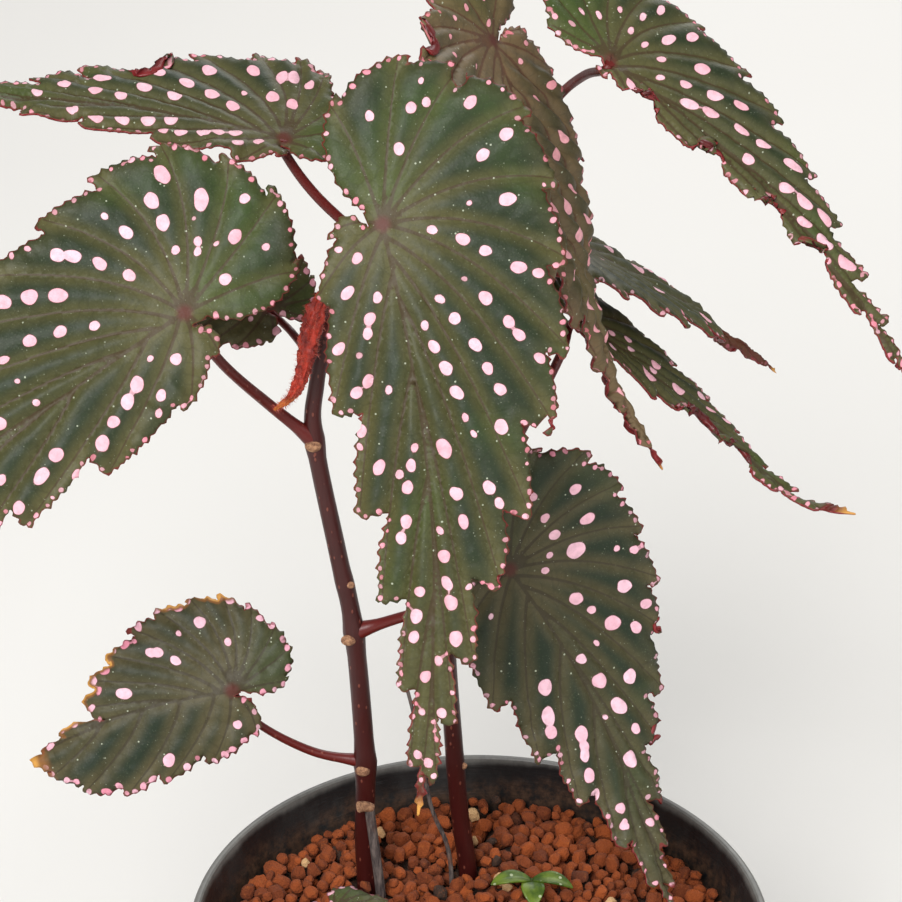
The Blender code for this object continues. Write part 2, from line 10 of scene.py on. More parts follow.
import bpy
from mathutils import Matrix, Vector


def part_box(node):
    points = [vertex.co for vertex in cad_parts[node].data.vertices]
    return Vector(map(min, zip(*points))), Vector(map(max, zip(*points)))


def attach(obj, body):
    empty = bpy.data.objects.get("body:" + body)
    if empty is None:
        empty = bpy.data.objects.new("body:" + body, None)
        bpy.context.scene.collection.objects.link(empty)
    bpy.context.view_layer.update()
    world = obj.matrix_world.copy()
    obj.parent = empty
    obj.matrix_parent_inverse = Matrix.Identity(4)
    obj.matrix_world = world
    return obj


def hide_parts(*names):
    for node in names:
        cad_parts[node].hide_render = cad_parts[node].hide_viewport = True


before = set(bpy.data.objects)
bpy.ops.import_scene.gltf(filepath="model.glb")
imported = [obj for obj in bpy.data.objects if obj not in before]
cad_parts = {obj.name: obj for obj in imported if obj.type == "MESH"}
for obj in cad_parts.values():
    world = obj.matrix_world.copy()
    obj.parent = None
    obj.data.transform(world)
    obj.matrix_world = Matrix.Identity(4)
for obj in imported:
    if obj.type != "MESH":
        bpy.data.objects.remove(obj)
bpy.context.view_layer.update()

# %% Tools for meshes, numbers and seeded draws
import math
import random

import bpy
import numpy as np
from mathutils import Matrix, Vector, noise
from mathutils.geometry import delaunay_2d_cdt

MM = 0.001


def in_mm(points):
    return [Vector(point) * MM for point in points]


def select_only(*pieces):
    bpy.ops.object.select_all(action="DESELECT")
    for piece in pieces:
        piece.select_set(True)
    bpy.context.view_layer.objects.active = pieces[0]


def triangles(piece):
    return sum(len(face.vertices) - 2 for face in piece.data.polygons)


def mesh_piece(name, points, faces, edges=()):
    """A new piece of the scene from its points and faces."""
    mesh = bpy.data.meshes.new(name)
    mesh.from_pydata([tuple(point) for point in points], edges, faces)
    piece = bpy.data.objects.new(name, mesh)
    bpy.context.scene.collection.objects.link(piece)
    return piece


def taken_apart(piece):
    """The corners and faces of a piece, which is then removed."""
    corners = np.array([tuple(v.co) for v in piece.data.vertices])
    faces = [tuple(face.vertices) for face in piece.data.polygons]
    bpy.data.objects.remove(piece)
    return corners, faces


def store(piece, name, values):
    """Keeps a number for every point, which a finish can read by its name."""
    piece.data.attributes.new(name, "FLOAT", "POINT").data.foreach_set("value", values)


def shape_with(piece, kind, **settings):
    """Adds a modifier with these settings and applies it."""
    select_only(piece)
    modifier = piece.modifiers.new(kind.lower(), kind)
    for name, setting in settings.items():
        setattr(modifier, name, setting)
    bpy.ops.object.modifier_apply(modifier=modifier.name)

# %% [markdown]
# ## Camera
#
# The photograph was taken from in front of the pot and a little above it, with a long lens. A
# long lens flattens the picture, so leaves near and far keep almost the same scale. The camera
# here stands about where that lens did: 0.54 m in front of the pot's axis and 0.52 m up, looking
# down by about 29 degrees. Leaves run out of the frame at the top and on both sides, and the pot
# at the bottom, as they do in the photograph.

# %% Camera
CAMERA_PLACE = (-0.0064, -0.5391, 0.5236)
CAMERA_PITCH = math.radians(90 - 28.65)
FOCAL_PIXELS = 3000
FRAME_PIXELS = 902

bpy.ops.object.camera_add(location=CAMERA_PLACE, rotation=(CAMERA_PITCH, 0, 0))
camera = bpy.context.object
camera.data.sensor_width = 36
camera.data.lens = FOCAL_PIXELS / FRAME_PIXELS * camera.data.sensor_width
bpy.context.scene.camera = camera
print("lens", round(camera.data.lens, 1), "mm")

# %% [markdown]
# ## Light and floor
#
# Dark leaves show their form by what they mirror. A soft light high in front, a little to the
# left, draws the swells between the veins, a weaker one on the right opens the shadows, one
# from behind lights the edges, and the pale floor and the world fill in the rest. The floor
# is plain, so that nothing competes with the spots.

# %% Studio
PLANT_MIDDLE = Vector((0, 0, 0.2))


def soft_light(name, place, size, watts):
    """A square lamp that points at the middle of the plant."""
    bpy.ops.object.light_add(type="AREA", location=place)
    lamp = bpy.context.object
    lamp.name = name
    lamp.data.size = size
    lamp.data.energy = watts
    lamp.rotation_euler = (PLANT_MIDDLE - Vector(place)).to_track_quat("-Z", "Y").to_euler()
    print("light", name, "of", watts, "W")


soft_light("key", (-0.35, -1.0, 1.2), 0.7, 27)
soft_light("fill", (1.1, -0.9, 0.7), 1.0, 7)
soft_light("back", (0.3, 1.2, 1.0), 0.8, 9)

world = bpy.data.worlds.new("studio")
bpy.context.scene.world = world
world.use_nodes = True
sky = world.node_tree.nodes["Background"].inputs
sky["Color"].default_value = (0.9, 0.9, 0.89, 1)
sky["Strength"].default_value = 0.36
bpy.context.scene.view_settings.view_transform = "Standard"

# %% [markdown]
# ## Shader formulas
#
# A finish is easier to read as a formula than as a list of linked boxes. `Value` wraps one
# output of a shader node and turns `+`, `-` and `*` into Math nodes, and `Finish` makes a
# material and any other node by its type, its settings and its inputs.

# %% Value
class Value:
    """One output of a shader node, which takes part in arithmetic."""

    def __init__(self, finish, socket):
        self.finish = finish
        self.socket = socket

    def math(self, operation, *inputs):
        return self.finish.node("ShaderNodeMath", {"operation": operation}, dict(enumerate(inputs)))

    def __add__(self, other):
        return self.math("ADD", self, other)

    def __sub__(self, other):
        return self.math("SUBTRACT", self, other)

    def __mul__(self, other):
        return self.math("MULTIPLY", self, other)

    def __rsub__(self, other):
        return self.math("SUBTRACT", other, self)

    __radd__ = __add__
    __rmul__ = __mul__

    def least(self, other):
        return self.math("MINIMUM", self, other)

    def ramp(self, low, high):
        """0 below `low`, 1 above `high`, and smooth between; `low` may be the larger one."""
        return self.finish.node(
            "ShaderNodeMapRange", {"interpolation_type": "SMOOTHSTEP"},
            {"Value": self, "From Min": low, "From Max": high},
        )

# %% Colours and Finish
def linear(colour):
    """A screen colour from 0 to 255 as the linear light that Blender works in."""
    shares = [channel / 255 for channel in colour]
    return tuple(c / 12.92 if c <= 0.04045 else ((c + 0.055) / 1.055) ** 2.4 for c in shares) + (1,)


class Finish:
    """A material, and a short way to add nodes to it."""

    def __init__(self, name, **fixed):
        self.material = bpy.data.materials.new(name)
        self.material.use_nodes = True
        self.tree = self.material.node_tree
        self.shader = self.tree.nodes["Principled BSDF"]
        for socket, number in fixed.items():
            self.shader.inputs[socket.replace("_", " ")].default_value = number

    def plug(self, value, socket):
        if isinstance(value, Value):
            self.tree.links.new(value.socket, socket)
        else:
            socket.default_value = value

    def node(self, kind, settings, inputs, output=0):
        made = self.tree.nodes.new(kind)
        for name, setting in settings.items():
            setattr(made, name, setting)
        for name, value in inputs.items():
            self.plug(value, made.inputs[name])
        return Value(self, made.outputs[output])

    def attribute(self, name):
        return self.node("ShaderNodeAttribute", {"attribute_name": name}, {}, "Fac")

    def place(self, source="Object"):
        return self.node("ShaderNodeTexCoord", {}, {}, source)

    def stretched(self, vector, scale):
        return self.node("ShaderNodeMapping", {}, {"Vector": vector, "Scale": scale})

    def cloud(self, vector, scale, detail=3.0, roughness=0.55):
        inputs = {"Vector": vector, "Scale": scale, "Detail": detail, "Roughness": roughness}
        return self.node("ShaderNodeTexNoise", {}, inputs)

    def cells(self, vector, scale, feature="F1"):
        inputs = {"Vector": vector, "Scale": scale}
        return self.node("ShaderNodeTexVoronoi", {"feature": feature}, inputs, "Distance")

    def mix(self, share, first, second):
        """The first colour where `share` is 0 and the second where it is 1; both may be mixes."""
        first, second = (c if isinstance(c, Value) else linear(c) for c in (first, second))
        return self.node("ShaderNodeMix", {"data_type": "RGBA"}, {0: share, 6: first, 7: second}, 2)

    def bump(self, height, distance, strength=1.0):
        inputs = {"Height": height, "Distance": distance, "Strength": strength}
        return self.node("ShaderNodeBump", {}, inputs)

    def set(self, **values):
        for socket, value in values.items():
            self.plug(value, self.shader.inputs[socket.replace("_", " ")])
        return self.material

# %% Floor
floor_finish = Finish("pale_floor", Roughness=0.85)
floor_shade = floor_finish.cloud(floor_finish.place(), 3.0)
floor_finish.set(Base_Color=floor_finish.mix(floor_shade, (226, 224, 220), (232, 230, 226)))
bpy.ops.mesh.primitive_plane_add(size=12, location=(0, 0, 0))
studio_floor = bpy.context.object
studio_floor.name = "studio_floor"
studio_floor.data.materials.append(floor_finish.material)

# %% [markdown]
# ## Rods
#
# Canes, leaf stalks and dry stalks are all the same kind of shape: a round rod that bends and
# tapers. Blender's curve object makes it well, because a bevel gives every point its own
# radius. A few points are placed by hand, a smooth curve is read through them, and the result
# is converted to a mesh that can be joined with others.

# %% Rods
def smooth_curve(points, steps):
    """Points on a Catmull-Rom curve through the given ones, with `steps` to each span."""
    points = np.array(points, float)
    ends = np.vstack([2 * points[0] - points[1], points, 2 * points[-1] - points[-2]])
    found = []
    for a, b, c, d in zip(ends, ends[1:], ends[2:], ends[3:]):
        for t in np.arange(steps) / steps:
            found.append(
                0.5 * (2 * b + (c - a) * t + (2 * a - 5 * b + 4 * c - d) * t**2
                       + (3 * b - a - 3 * c + d) * t**3)
            )
    return np.array(found + [points[-1]])


def rod(name, points, radii, steps=6, swellings=(), roundness=4):
    """A closed rod; each swelling is a place along it, how far it reaches, and its share."""
    path = smooth_curve(points, steps)
    spread = np.interp(np.linspace(0, 1, len(path)), np.linspace(0, 1, len(radii)), radii)
    for place, reach, share in swellings:
        away = np.linalg.norm(path - np.array(place), axis=1)
        spread = spread * (1 + share * np.exp(-((away / reach) ** 2)))
    bpy.ops.curve.primitive_nurbs_path_add(location=(0, 0, 0))
    piece = bpy.context.object
    piece.name = name
    curve = piece.data
    curve.splines.clear()
    curve.bevel_depth = 1
    curve.bevel_resolution = roundness
    curve.use_fill_caps = True
    spline = curve.splines.new("POLY")
    spline.points.add(len(path) - 1)
    for point, co, radius in zip(spline.points, path, spread):
        point.co = (*co, 1)
        point.radius = radius
    select_only(piece)
    bpy.ops.object.convert(target="MESH")
    piece.data.name = name
    weld(piece)
    bpy.ops.object.shade_smooth_by_angle(angle=math.radians(50))
    return piece


def weld(piece):
    """Merges doubled points and points every face outwards."""
    select_only(piece)
    bpy.ops.object.mode_set(mode="EDIT")
    bpy.ops.mesh.select_all(action="SELECT")
    bpy.ops.mesh.remove_doubles(threshold=1e-6)
    bpy.ops.mesh.normals_make_consistent(inside=False)
    bpy.ops.object.mode_set(mode="OBJECT")


def joined(name, pieces, finish):
    select_only(*pieces)
    if len(pieces) > 1:
        bpy.ops.object.join()
    piece = bpy.context.object
    piece.name = name
    piece.data.name = name
    piece.data.materials.clear()
    piece.data.materials.append(finish)
    return piece


def rides(piece):
    """Puts a finished piece on the body."""
    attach(piece, "root")


def stands_for(piece, node):
    """Puts a finished piece on the body in place of a solid, which is hidden."""
    rides(piece)
    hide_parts(node)
    print(piece.name, "for", node, "with", triangles(piece), "triangles")

# %% [markdown]
# ## The pot
#
# A nursery pot is blown or moulded from thin black plastic: a slightly conical wall, a lip
# that is thicker than the wall, and drain holes in the foot. Seen close up it is never quite
# black. Clay dust dries on the inside in a brown tide mark. The top of the lip is painted grey,
# partly as wear from handling and partly as a painted highlight where it faces the light. The
# wall is drawn once as a profile and spun round, which is how the mould was turned as well.

# %% Pot
RIM_RADIUS, _, POT_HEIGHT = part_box("pot")[1]
WALL = 1.3 * MM
LIP_OVERHANG = 1.2 * MM
LIP_HEIGHT = 7 * MM
FLOOR_THICKNESS = 1.6 * MM
FLOOR_RADIUS = 44 * MM
SOIL_LEVEL = 100.5 * MM
DRAIN_HOLES = 8
DRAIN_RADIUS = 4 * MM
DRAIN_CIRCLE = 33 * MM


def inner_radius(height):
    """The wall's inner radius at a height."""
    top = RIM_RADIUS - LIP_OVERHANG - WALL * 0.4
    return FLOOR_RADIUS + (top - FLOOR_RADIUS) * (height - FLOOR_THICKNESS) / (POT_HEIGHT - FLOOR_THICKNESS)


def spun(name, profile, turns):
    """A closed solid of revolution from radius and height pairs that start and end on the axis."""
    edges = [(k, k + 1) for k in range(len(profile) - 1)]
    piece = mesh_piece(name, [(radius, 0, height) for radius, height in profile], [], edges)
    select_only(piece)
    bpy.ops.object.mode_set(mode="EDIT")
    bpy.ops.mesh.select_all(action="SELECT")
    bpy.ops.mesh.spin(steps=turns, angle=math.tau, center=(0, 0, 0), axis=(0, 0, 1))
    bpy.ops.object.mode_set(mode="OBJECT")
    weld(piece)
    return piece


lip_base = POT_HEIGHT - LIP_HEIGHT
pot_profile = [
    (0, 0), (FLOOR_RADIUS - 1 * MM, 0), (FLOOR_RADIUS + 0.6 * MM, 0.4 * MM),
    (FLOOR_RADIUS + WALL * 0.8, 1.6 * MM), (inner_radius(lip_base) + WALL, lip_base - 1.2 * MM),
    (inner_radius(lip_base) + WALL + 0.2 * MM, lip_base - 0.4 * MM),
    (RIM_RADIUS - 0.4 * MM, lip_base), (RIM_RADIUS, lip_base + 0.5 * MM),
    (RIM_RADIUS, POT_HEIGHT - 1.1 * MM), (RIM_RADIUS - 0.25 * MM, POT_HEIGHT - 0.45 * MM),
    (RIM_RADIUS - 0.7 * MM, POT_HEIGHT - 0.08 * MM), (RIM_RADIUS - 1.1 * MM, POT_HEIGHT),
    (RIM_RADIUS - 1.5 * MM, POT_HEIGHT - 0.1 * MM), (RIM_RADIUS - 1.85 * MM, POT_HEIGHT - 0.5 * MM),
    (inner_radius(POT_HEIGHT - 1.2 * MM), POT_HEIGHT - 1.2 * MM),
    (inner_radius(SOIL_LEVEL), SOIL_LEVEL), (FLOOR_RADIUS, FLOOR_THICKNESS), (0, FLOOR_THICKNESS),
]
pot = spun("pot_wall", pot_profile, 144)

drains = []
for k in range(DRAIN_HOLES):
    angle = math.tau * (k + 0.5) / DRAIN_HOLES
    place = (DRAIN_CIRCLE * math.cos(angle), DRAIN_CIRCLE * math.sin(angle), 0)
    bpy.ops.mesh.primitive_cylinder_add(
        vertices=32, radius=DRAIN_RADIUS, depth=FLOOR_THICKNESS * 4, location=place
    )
    drains.append(bpy.context.object)
select_only(*drains)
bpy.ops.object.join()
drain_cutter = bpy.context.object
shape_with(pot, "BOOLEAN", operation="DIFFERENCE", object=drain_cutter)
bpy.data.objects.remove(drain_cutter)
bpy.ops.object.shade_smooth_by_angle(angle=math.radians(32))

# %% Pot plastic
plastic = Finish("pot_plastic", IOR=1.5)
where = plastic.place()
height = plastic.node("ShaderNodeSeparateXYZ", {}, {"Vector": where}, "Z")
grime = plastic.cloud(plastic.stretched(where, (1, 1, 0.45)), 55.0, 5.0, 0.62)
fine_dust = plastic.cloud(where, 420.0, 4.0, 0.7)
# The top of the lip is painted grey: partly wear from handling, partly a painted highlight.
rim_highlight_and_wear = (height + (grime - 0.5) * 0.004).ramp(POT_HEIGHT - 2.6 * MM, POT_HEIGHT - 0.4 * MM)
from_axis = plastic.node("ShaderNodeVectorMath", {"operation": "LENGTH"},
                         {0: plastic.stretched(where, (1, 1, 0))}, "Value")
wall_slope = (inner_radius(POT_HEIGHT) - inner_radius(0)) / POT_HEIGHT
inner_side = (from_axis - height * wall_slope).ramp(inner_radius(0) + 0.7 * MM, inner_radius(0) + 0.3 * MM)
tide = (height + (grime - 0.5) * 0.012).ramp(SOIL_LEVEL + 5 * MM, SOIL_LEVEL) * inner_side
dusty = (grime * 1.5 - 0.62).ramp(0.0, 0.55) * 0.5 + fine_dust.ramp(0.5, 0.75) * 0.22
black = plastic.mix(dusty, (24, 25, 26), (62, 62, 60))
with_tide = plastic.mix(tide * fine_dust.ramp(0.3, 0.7) * 0.6, black, (92, 66, 48))
# Grey on the lip top: wear and a painted highlight together.
with_rim_highlight_and_wear = plastic.mix(rim_highlight_and_wear * (0.35 + fine_dust * 0.6), with_tide, (128, 127, 122))
scuffs = plastic.cloud(plastic.stretched(where, (1, 1, 14)), 160.0, 3.0, 0.6)
plastic.set(
    Base_Color=with_rim_highlight_and_wear,
    Roughness=0.34 + dusty * 0.4 + rim_highlight_and_wear * 0.12,
    Normal=plastic.bump(scuffs + fine_dust * 0.6, 0.00012, 0.7),
)
pot.data.materials.append(plastic.material)
stands_for(pot, "pot")

# %% [markdown]
# ## The granules
#
# The growing medium is baked clay, broken and sieved to a few millimetres, so every grain has
# flat breaks and worn corners. A bump on one smooth surface can't give the dark gaps between
# grains. Six grains are cut from a ball by random planes, and turned and scaled copies of
# them are laid in two layers over a plain plug that fills the pot. The plug takes the darkest
# clay colour, as painted shade in the gaps between the grains.

# %% Grain shapes
GRAIN_KINDS = 6
GRAIN_CUTS = 11
CUT_DEPTH = (0.62, 0.9)  # how far from the middle the planes lie, the ball's radius being 1
GRAIN_ROUGHNESS = 0.09


def cut_grain(draw):
    """The corners and faces of one grain: a ball pared down by random planes."""
    bpy.ops.mesh.primitive_ico_sphere_add(subdivisions=3, radius=1, location=(0, 0, 0))
    corners, faces = taken_apart(bpy.context.object)
    reach = np.ones(len(corners))
    for _ in range(GRAIN_CUTS):
        cut = Vector([draw.gauss(0, 1) for _ in range(3)]).normalized()
        depth = draw.uniform(*CUT_DEPTH)
        facing = corners @ np.array(cut)
        reach = np.where(facing > 0, np.minimum(reach, depth / np.maximum(facing, 0.05)), reach)
    rough = [noise.noise(Vector(corner) * 2.3 + Vector((draw.random(), 0, 0))) for corner in corners]
    return corners * (reach + GRAIN_ROUGHNESS * np.array(rough))[:, None], faces


def thinned(corners, faces, share):
    """The same grain with fewer faces, by Blender's Decimate."""
    grain = mesh_piece("grain", corners, faces)
    shape_with(grain, "DECIMATE", ratio=share)
    return taken_apart(grain)


grain_draw = random.Random(31)
grain_shapes = [thinned(*cut_grain(grain_draw), 0.32) for _ in range(GRAIN_KINDS)]
print("grains:", [len(faces) for _, faces in grain_shapes], "faces")

# %% Where the grains lie
PLANT_FEET = [(-26.1, 28.3, 2.9), (-2.4, 33, 2.8), (-22.6, 23.5, 1.7), (-6.3, 29.2, 1.2),
              (-27, 12, 1.6), (12, 21.5, 1.5)]  # x, y and radius in mm
GRAIN_TRIES = 9000


def laid_grains(level, spread, apart, sizes, draw):
    """Places of one layer, each (x, y, z, radius) in metres, by trying points at random."""
    reach = inner_radius(SOIL_LEVEL) - 1.6 * MM
    found = []
    for _ in range(GRAIN_TRIES):
        radius = draw.uniform(*sizes) * MM
        turn = draw.uniform(0, math.tau)
        out = (reach - radius * 0.8) * math.sqrt(draw.random())
        x, y = out * math.cos(turn), out * math.sin(turn)
        if any(math.hypot(x - a, y - b) < apart * (radius + r) for a, b, _, r in found):
            continue
        if any(math.hypot(x - a * MM, y - b * MM) < r * MM + radius * 0.75 for a, b, r in PLANT_FEET):
            continue
        found.append((x, y, level + draw.uniform(-1, 1) * spread, radius))
    return found


lower = laid_grains(SOIL_LEVEL - 3.1 * MM, 0.5 * MM, 0.8, (1.7, 2.6), grain_draw)
upper = laid_grains(SOIL_LEVEL - 0.7 * MM, 0.9 * MM, 0.82, (1.1, 2.4), grain_draw)
print(len(lower), "grains below and", len(upper), "on top")

# %% One mesh of grains
bed_profile = [
    (0, FLOOR_THICKNESS + 0.3 * MM), (FLOOR_RADIUS - 0.5 * MM, FLOOR_THICKNESS + 0.3 * MM),
    (inner_radius(SOIL_LEVEL - 5 * MM) - 0.4 * MM, SOIL_LEVEL - 5 * MM), (0, SOIL_LEVEL - 5 * MM),
]
bed_corners, face_list = taken_apart(spun("bed", bed_profile, 48))
corner_sets = [bed_corners]
# The plug gets tone 0, which the clay finish turns dark brown: painted shade in the gaps between the
# grains.
tones = [np.zeros(len(bed_corners))]
first = len(bed_corners)
for x, y, z, radius in lower + upper:
    corners, faces = grain_draw.choice(grain_shapes)
    squash = Matrix.Diagonal([grain_draw.uniform(0.75, 1.15) for _ in range(3)])
    turn = Matrix.Rotation(grain_draw.uniform(0, math.tau), 3, "X")
    turn = Matrix.Rotation(grain_draw.uniform(0, math.tau), 3, "Z") @ turn
    corner_sets.append(corners @ np.array(turn @ squash).T * radius * 1.08 + np.array((x, y, z)))
    face_list += [tuple(k + first for k in face) for face in faces]
    tones.append(np.full(len(corners), grain_draw.uniform(0.15, 1.0)))
    first += len(corners)
granules = mesh_piece("granules", np.vstack(corner_sets), face_list)
store(granules, "tone", np.concatenate(tones))
select_only(granules)
bpy.ops.object.shade_smooth_by_angle(angle=math.radians(38))

# %% Baked clay
clay = Finish("baked_clay", Roughness=0.95)
where = clay.place()
tone_value = clay.attribute("tone")
speckle = clay.cloud(where, 900.0, 6.0, 0.7)
stain = clay.cloud(where, 190.0, 3.0)
fired = clay.mix(tone_value * 0.75 + stain * 0.3, (70, 27, 8), (152, 72, 24))
pale_grain = clay.mix(tone_value.ramp(0.975, 0.985), fired, (196, 158, 112))
# Low tones give a few dark grains; on the plug, at tone 0, the same dark is painted shade.
dark_grains_and_gap_shade = clay.mix(tone_value.ramp(0.2, 0.17), pale_grain, (58, 40, 30))
dusted = clay.mix(speckle.ramp(0.5, 0.78) * 0.5, dark_grains_and_gap_shade, (170, 94, 40))
pits = clay.cells(where, 1500.0)
clay.set(Base_Color=dusted, Normal=clay.bump(speckle + pits * 0.7, 0.00035, 0.9))
granules.data.materials.append(clay.material)
stands_for(granules, "soil")

# %% [markdown]
# ## The plan of a leaf
#
# A cane begonia's blade is lopsided: one half runs back over the top of the stalk in a broad
# lobe and the other is narrow. Veins fan out from the stalk and leave the midrib, and each one
# ends in a tooth, behind which the edge steps in. The plan of a blade is drawn flat, in shares
# of its length, and every leaf is cut from one of two plans: the long one, and a rounder one
# for the small leaves. The veins and teeth are where the solids have them.

# %% Outlines
# Across the blade and along it, from the notch at the stalk to the drip tip.
LONG_BROAD = [
    (-0.014, -0.012), (-0.045, -0.030), (-0.078, -0.075), (-0.092, -0.150),
    (-0.060, -0.230), (0.030, -0.275), (0.125, -0.266), (0.215, -0.228),
    (0.278, -0.150), (0.303, -0.040), (0.310, 0.080), (0.308, 0.200),
    (0.285, 0.320), (0.243, 0.430), (0.200, 0.540), (0.148, 0.640),
    (0.104, 0.740), (0.066, 0.840), (0.032, 0.930), (0.000, 1.000),
]
LONG_NARROW = [
    (-0.014, 0.004), (-0.060, -0.018), (-0.098, 0.030), (-0.116, 0.120),
    (-0.112, 0.230), (-0.094, 0.340), (-0.074, 0.440), (-0.056, 0.540),
    (-0.034, 0.640), (-0.018, 0.740), (-0.010, 0.840), (-0.006, 0.930),
    (0.000, 1.000),
]
ROUND_BROAD = [
    (-0.014, -0.012), (-0.045, -0.090), (-0.065, -0.170), (-0.030, -0.260),
    (0.074, -0.310), (0.180, -0.300), (0.335, -0.205), (0.430, -0.090),
    (0.463, 0.060), (0.462, 0.210), (0.430, 0.340), (0.370, 0.440),
    (0.290, 0.570), (0.200, 0.670), (0.110, 0.760), (0.050, 0.860),
    (0.000, 1.000),
]
ROUND_NARROW = [
    (-0.014, 0.004), (-0.060, -0.050), (-0.140, -0.085), (-0.215, -0.050),
    (-0.270, 0.060), (-0.290, 0.240), (-0.300, 0.420), (-0.308, 0.560),
    (-0.280, 0.710), (-0.200, 0.820), (-0.110, 0.920), (0.000, 1.000),
]

OUTLINES = {"long": (LONG_BROAD, LONG_NARROW), "round": (ROUND_BROAD, ROUND_NARROW)}

# %% Veins
# The share of the half outline where each vein ends, the share of the midrib where it
# starts, and how deep the edge steps in behind its tooth.
BROAD_VEINS = [
    (0.12, 0.00, 0.010), (0.20, 0.00, 0.012), (0.26, 0.00, 0.014), (0.33, 0.00, 0.018),
    (0.40, 0.00, 0.018), (0.47, 0.00, 0.020), (0.55, 0.00, 0.026), (0.62, 0.02, 0.036),
    (0.70, 0.05, 0.032), (0.77, 0.12, 0.032), (0.84, 0.26, 0.028), (0.90, 0.42, 0.022),
    (0.955, 0.62, 0.014),
]
NARROW_VEINS = [
    (0.08, 0.00, 0.010), (0.18, 0.00, 0.014), (0.355, 0.01, 0.030), (0.515, 0.08, 0.032),
    (0.65, 0.24, 0.028), (0.79, 0.42, 0.020), (0.91, 0.62, 0.012),
]
MIDRIB_BOW = 0.055
VEIN_BACKSWEEP = 0.20
NOTCH_SHARE = 0.12
TOOTH_HOOK = 0.011  # how far a tooth leans over the step behind it, as a share of the half
BASE_STEP = 0.006
BLADE_THICKNESS = 0.45
print(len(BROAD_VEINS), "veins in the broad half and", len(NARROW_VEINS), "in the narrow one")

# %% Lines on the plan
def arc_shares(curve):
    """How far along a curve each of its points lies, from 0 to 1."""
    steps = np.linalg.norm(np.diff(curve, axis=0), axis=1)
    run = np.concatenate([[0], np.cumsum(steps)])
    return run / run[-1]


def point_at(curve, shares, share):
    return np.array([np.interp(share, shares, curve[:, k]) for k in range(2)])


def midrib_point(share):
    """A point on the midrib, which bows a little to the broad half."""
    return np.array([MIDRIB_BOW * math.sin(math.pi * share), share])


def vein_line(first, last):
    """A vein from the midrib to the edge, as a curve that hangs back towards the stalk."""
    reach = np.linalg.norm(last - first)
    bend = (first + last) / 2 + np.array([0, -VEIN_BACKSWEEP * reach])
    t = np.linspace(0, 1, 17)[:, None]
    return (1 - t) ** 2 * first + 2 * t * (1 - t) * bend + t**2 * last


def away_from(points, line):
    """The distance from each point to a line, and how far along the line its foot lies."""
    nearest = np.full(len(points), np.inf)
    foot = np.zeros(len(points))
    runs = np.linalg.norm(np.diff(line, axis=0), axis=1)
    so_far = np.concatenate([[0], np.cumsum(runs)])
    for k, (a, b) in enumerate(zip(line, line[1:])):
        run = b - a
        t = np.clip(((points - a) @ run) / max(run @ run, 1e-12), 0, 1)
        away = np.linalg.norm(points - a - t[:, None] * run, axis=1)
        closer = away < nearest
        nearest = np.where(closer, away, nearest)
        foot = np.where(closer, so_far[k] + t * runs[k], foot)
    return nearest, foot


def is_inside(points, ring):
    """Which points lie inside a closed ring, by counting the edges to their right."""
    inside = np.zeros(len(points), bool)
    x, y = points[:, 0], points[:, 1]
    for (ax, ay), (bx, by) in zip(ring, np.roll(ring, -1, axis=0)):
        crosses = (ay > y) != (by > y)
        if crosses.any():
            inside ^= crosses & (x < (bx - ax) * (y - ay) / (by - ay + 1e-18) + ax)
    return inside

# %% [markdown]
# ## A leaf in space
#
# Each leaf is placed by three things: where its stalk meets it, where its tip is, and which
# way it faces. It is then bent by a few formulas. It arches along the midrib, folds down on
# both sides of it, swells between its veins, twists, and curls at the tip. These are the
# numbers of the solids, so that every finer blade keeps the form of the one it stands for.

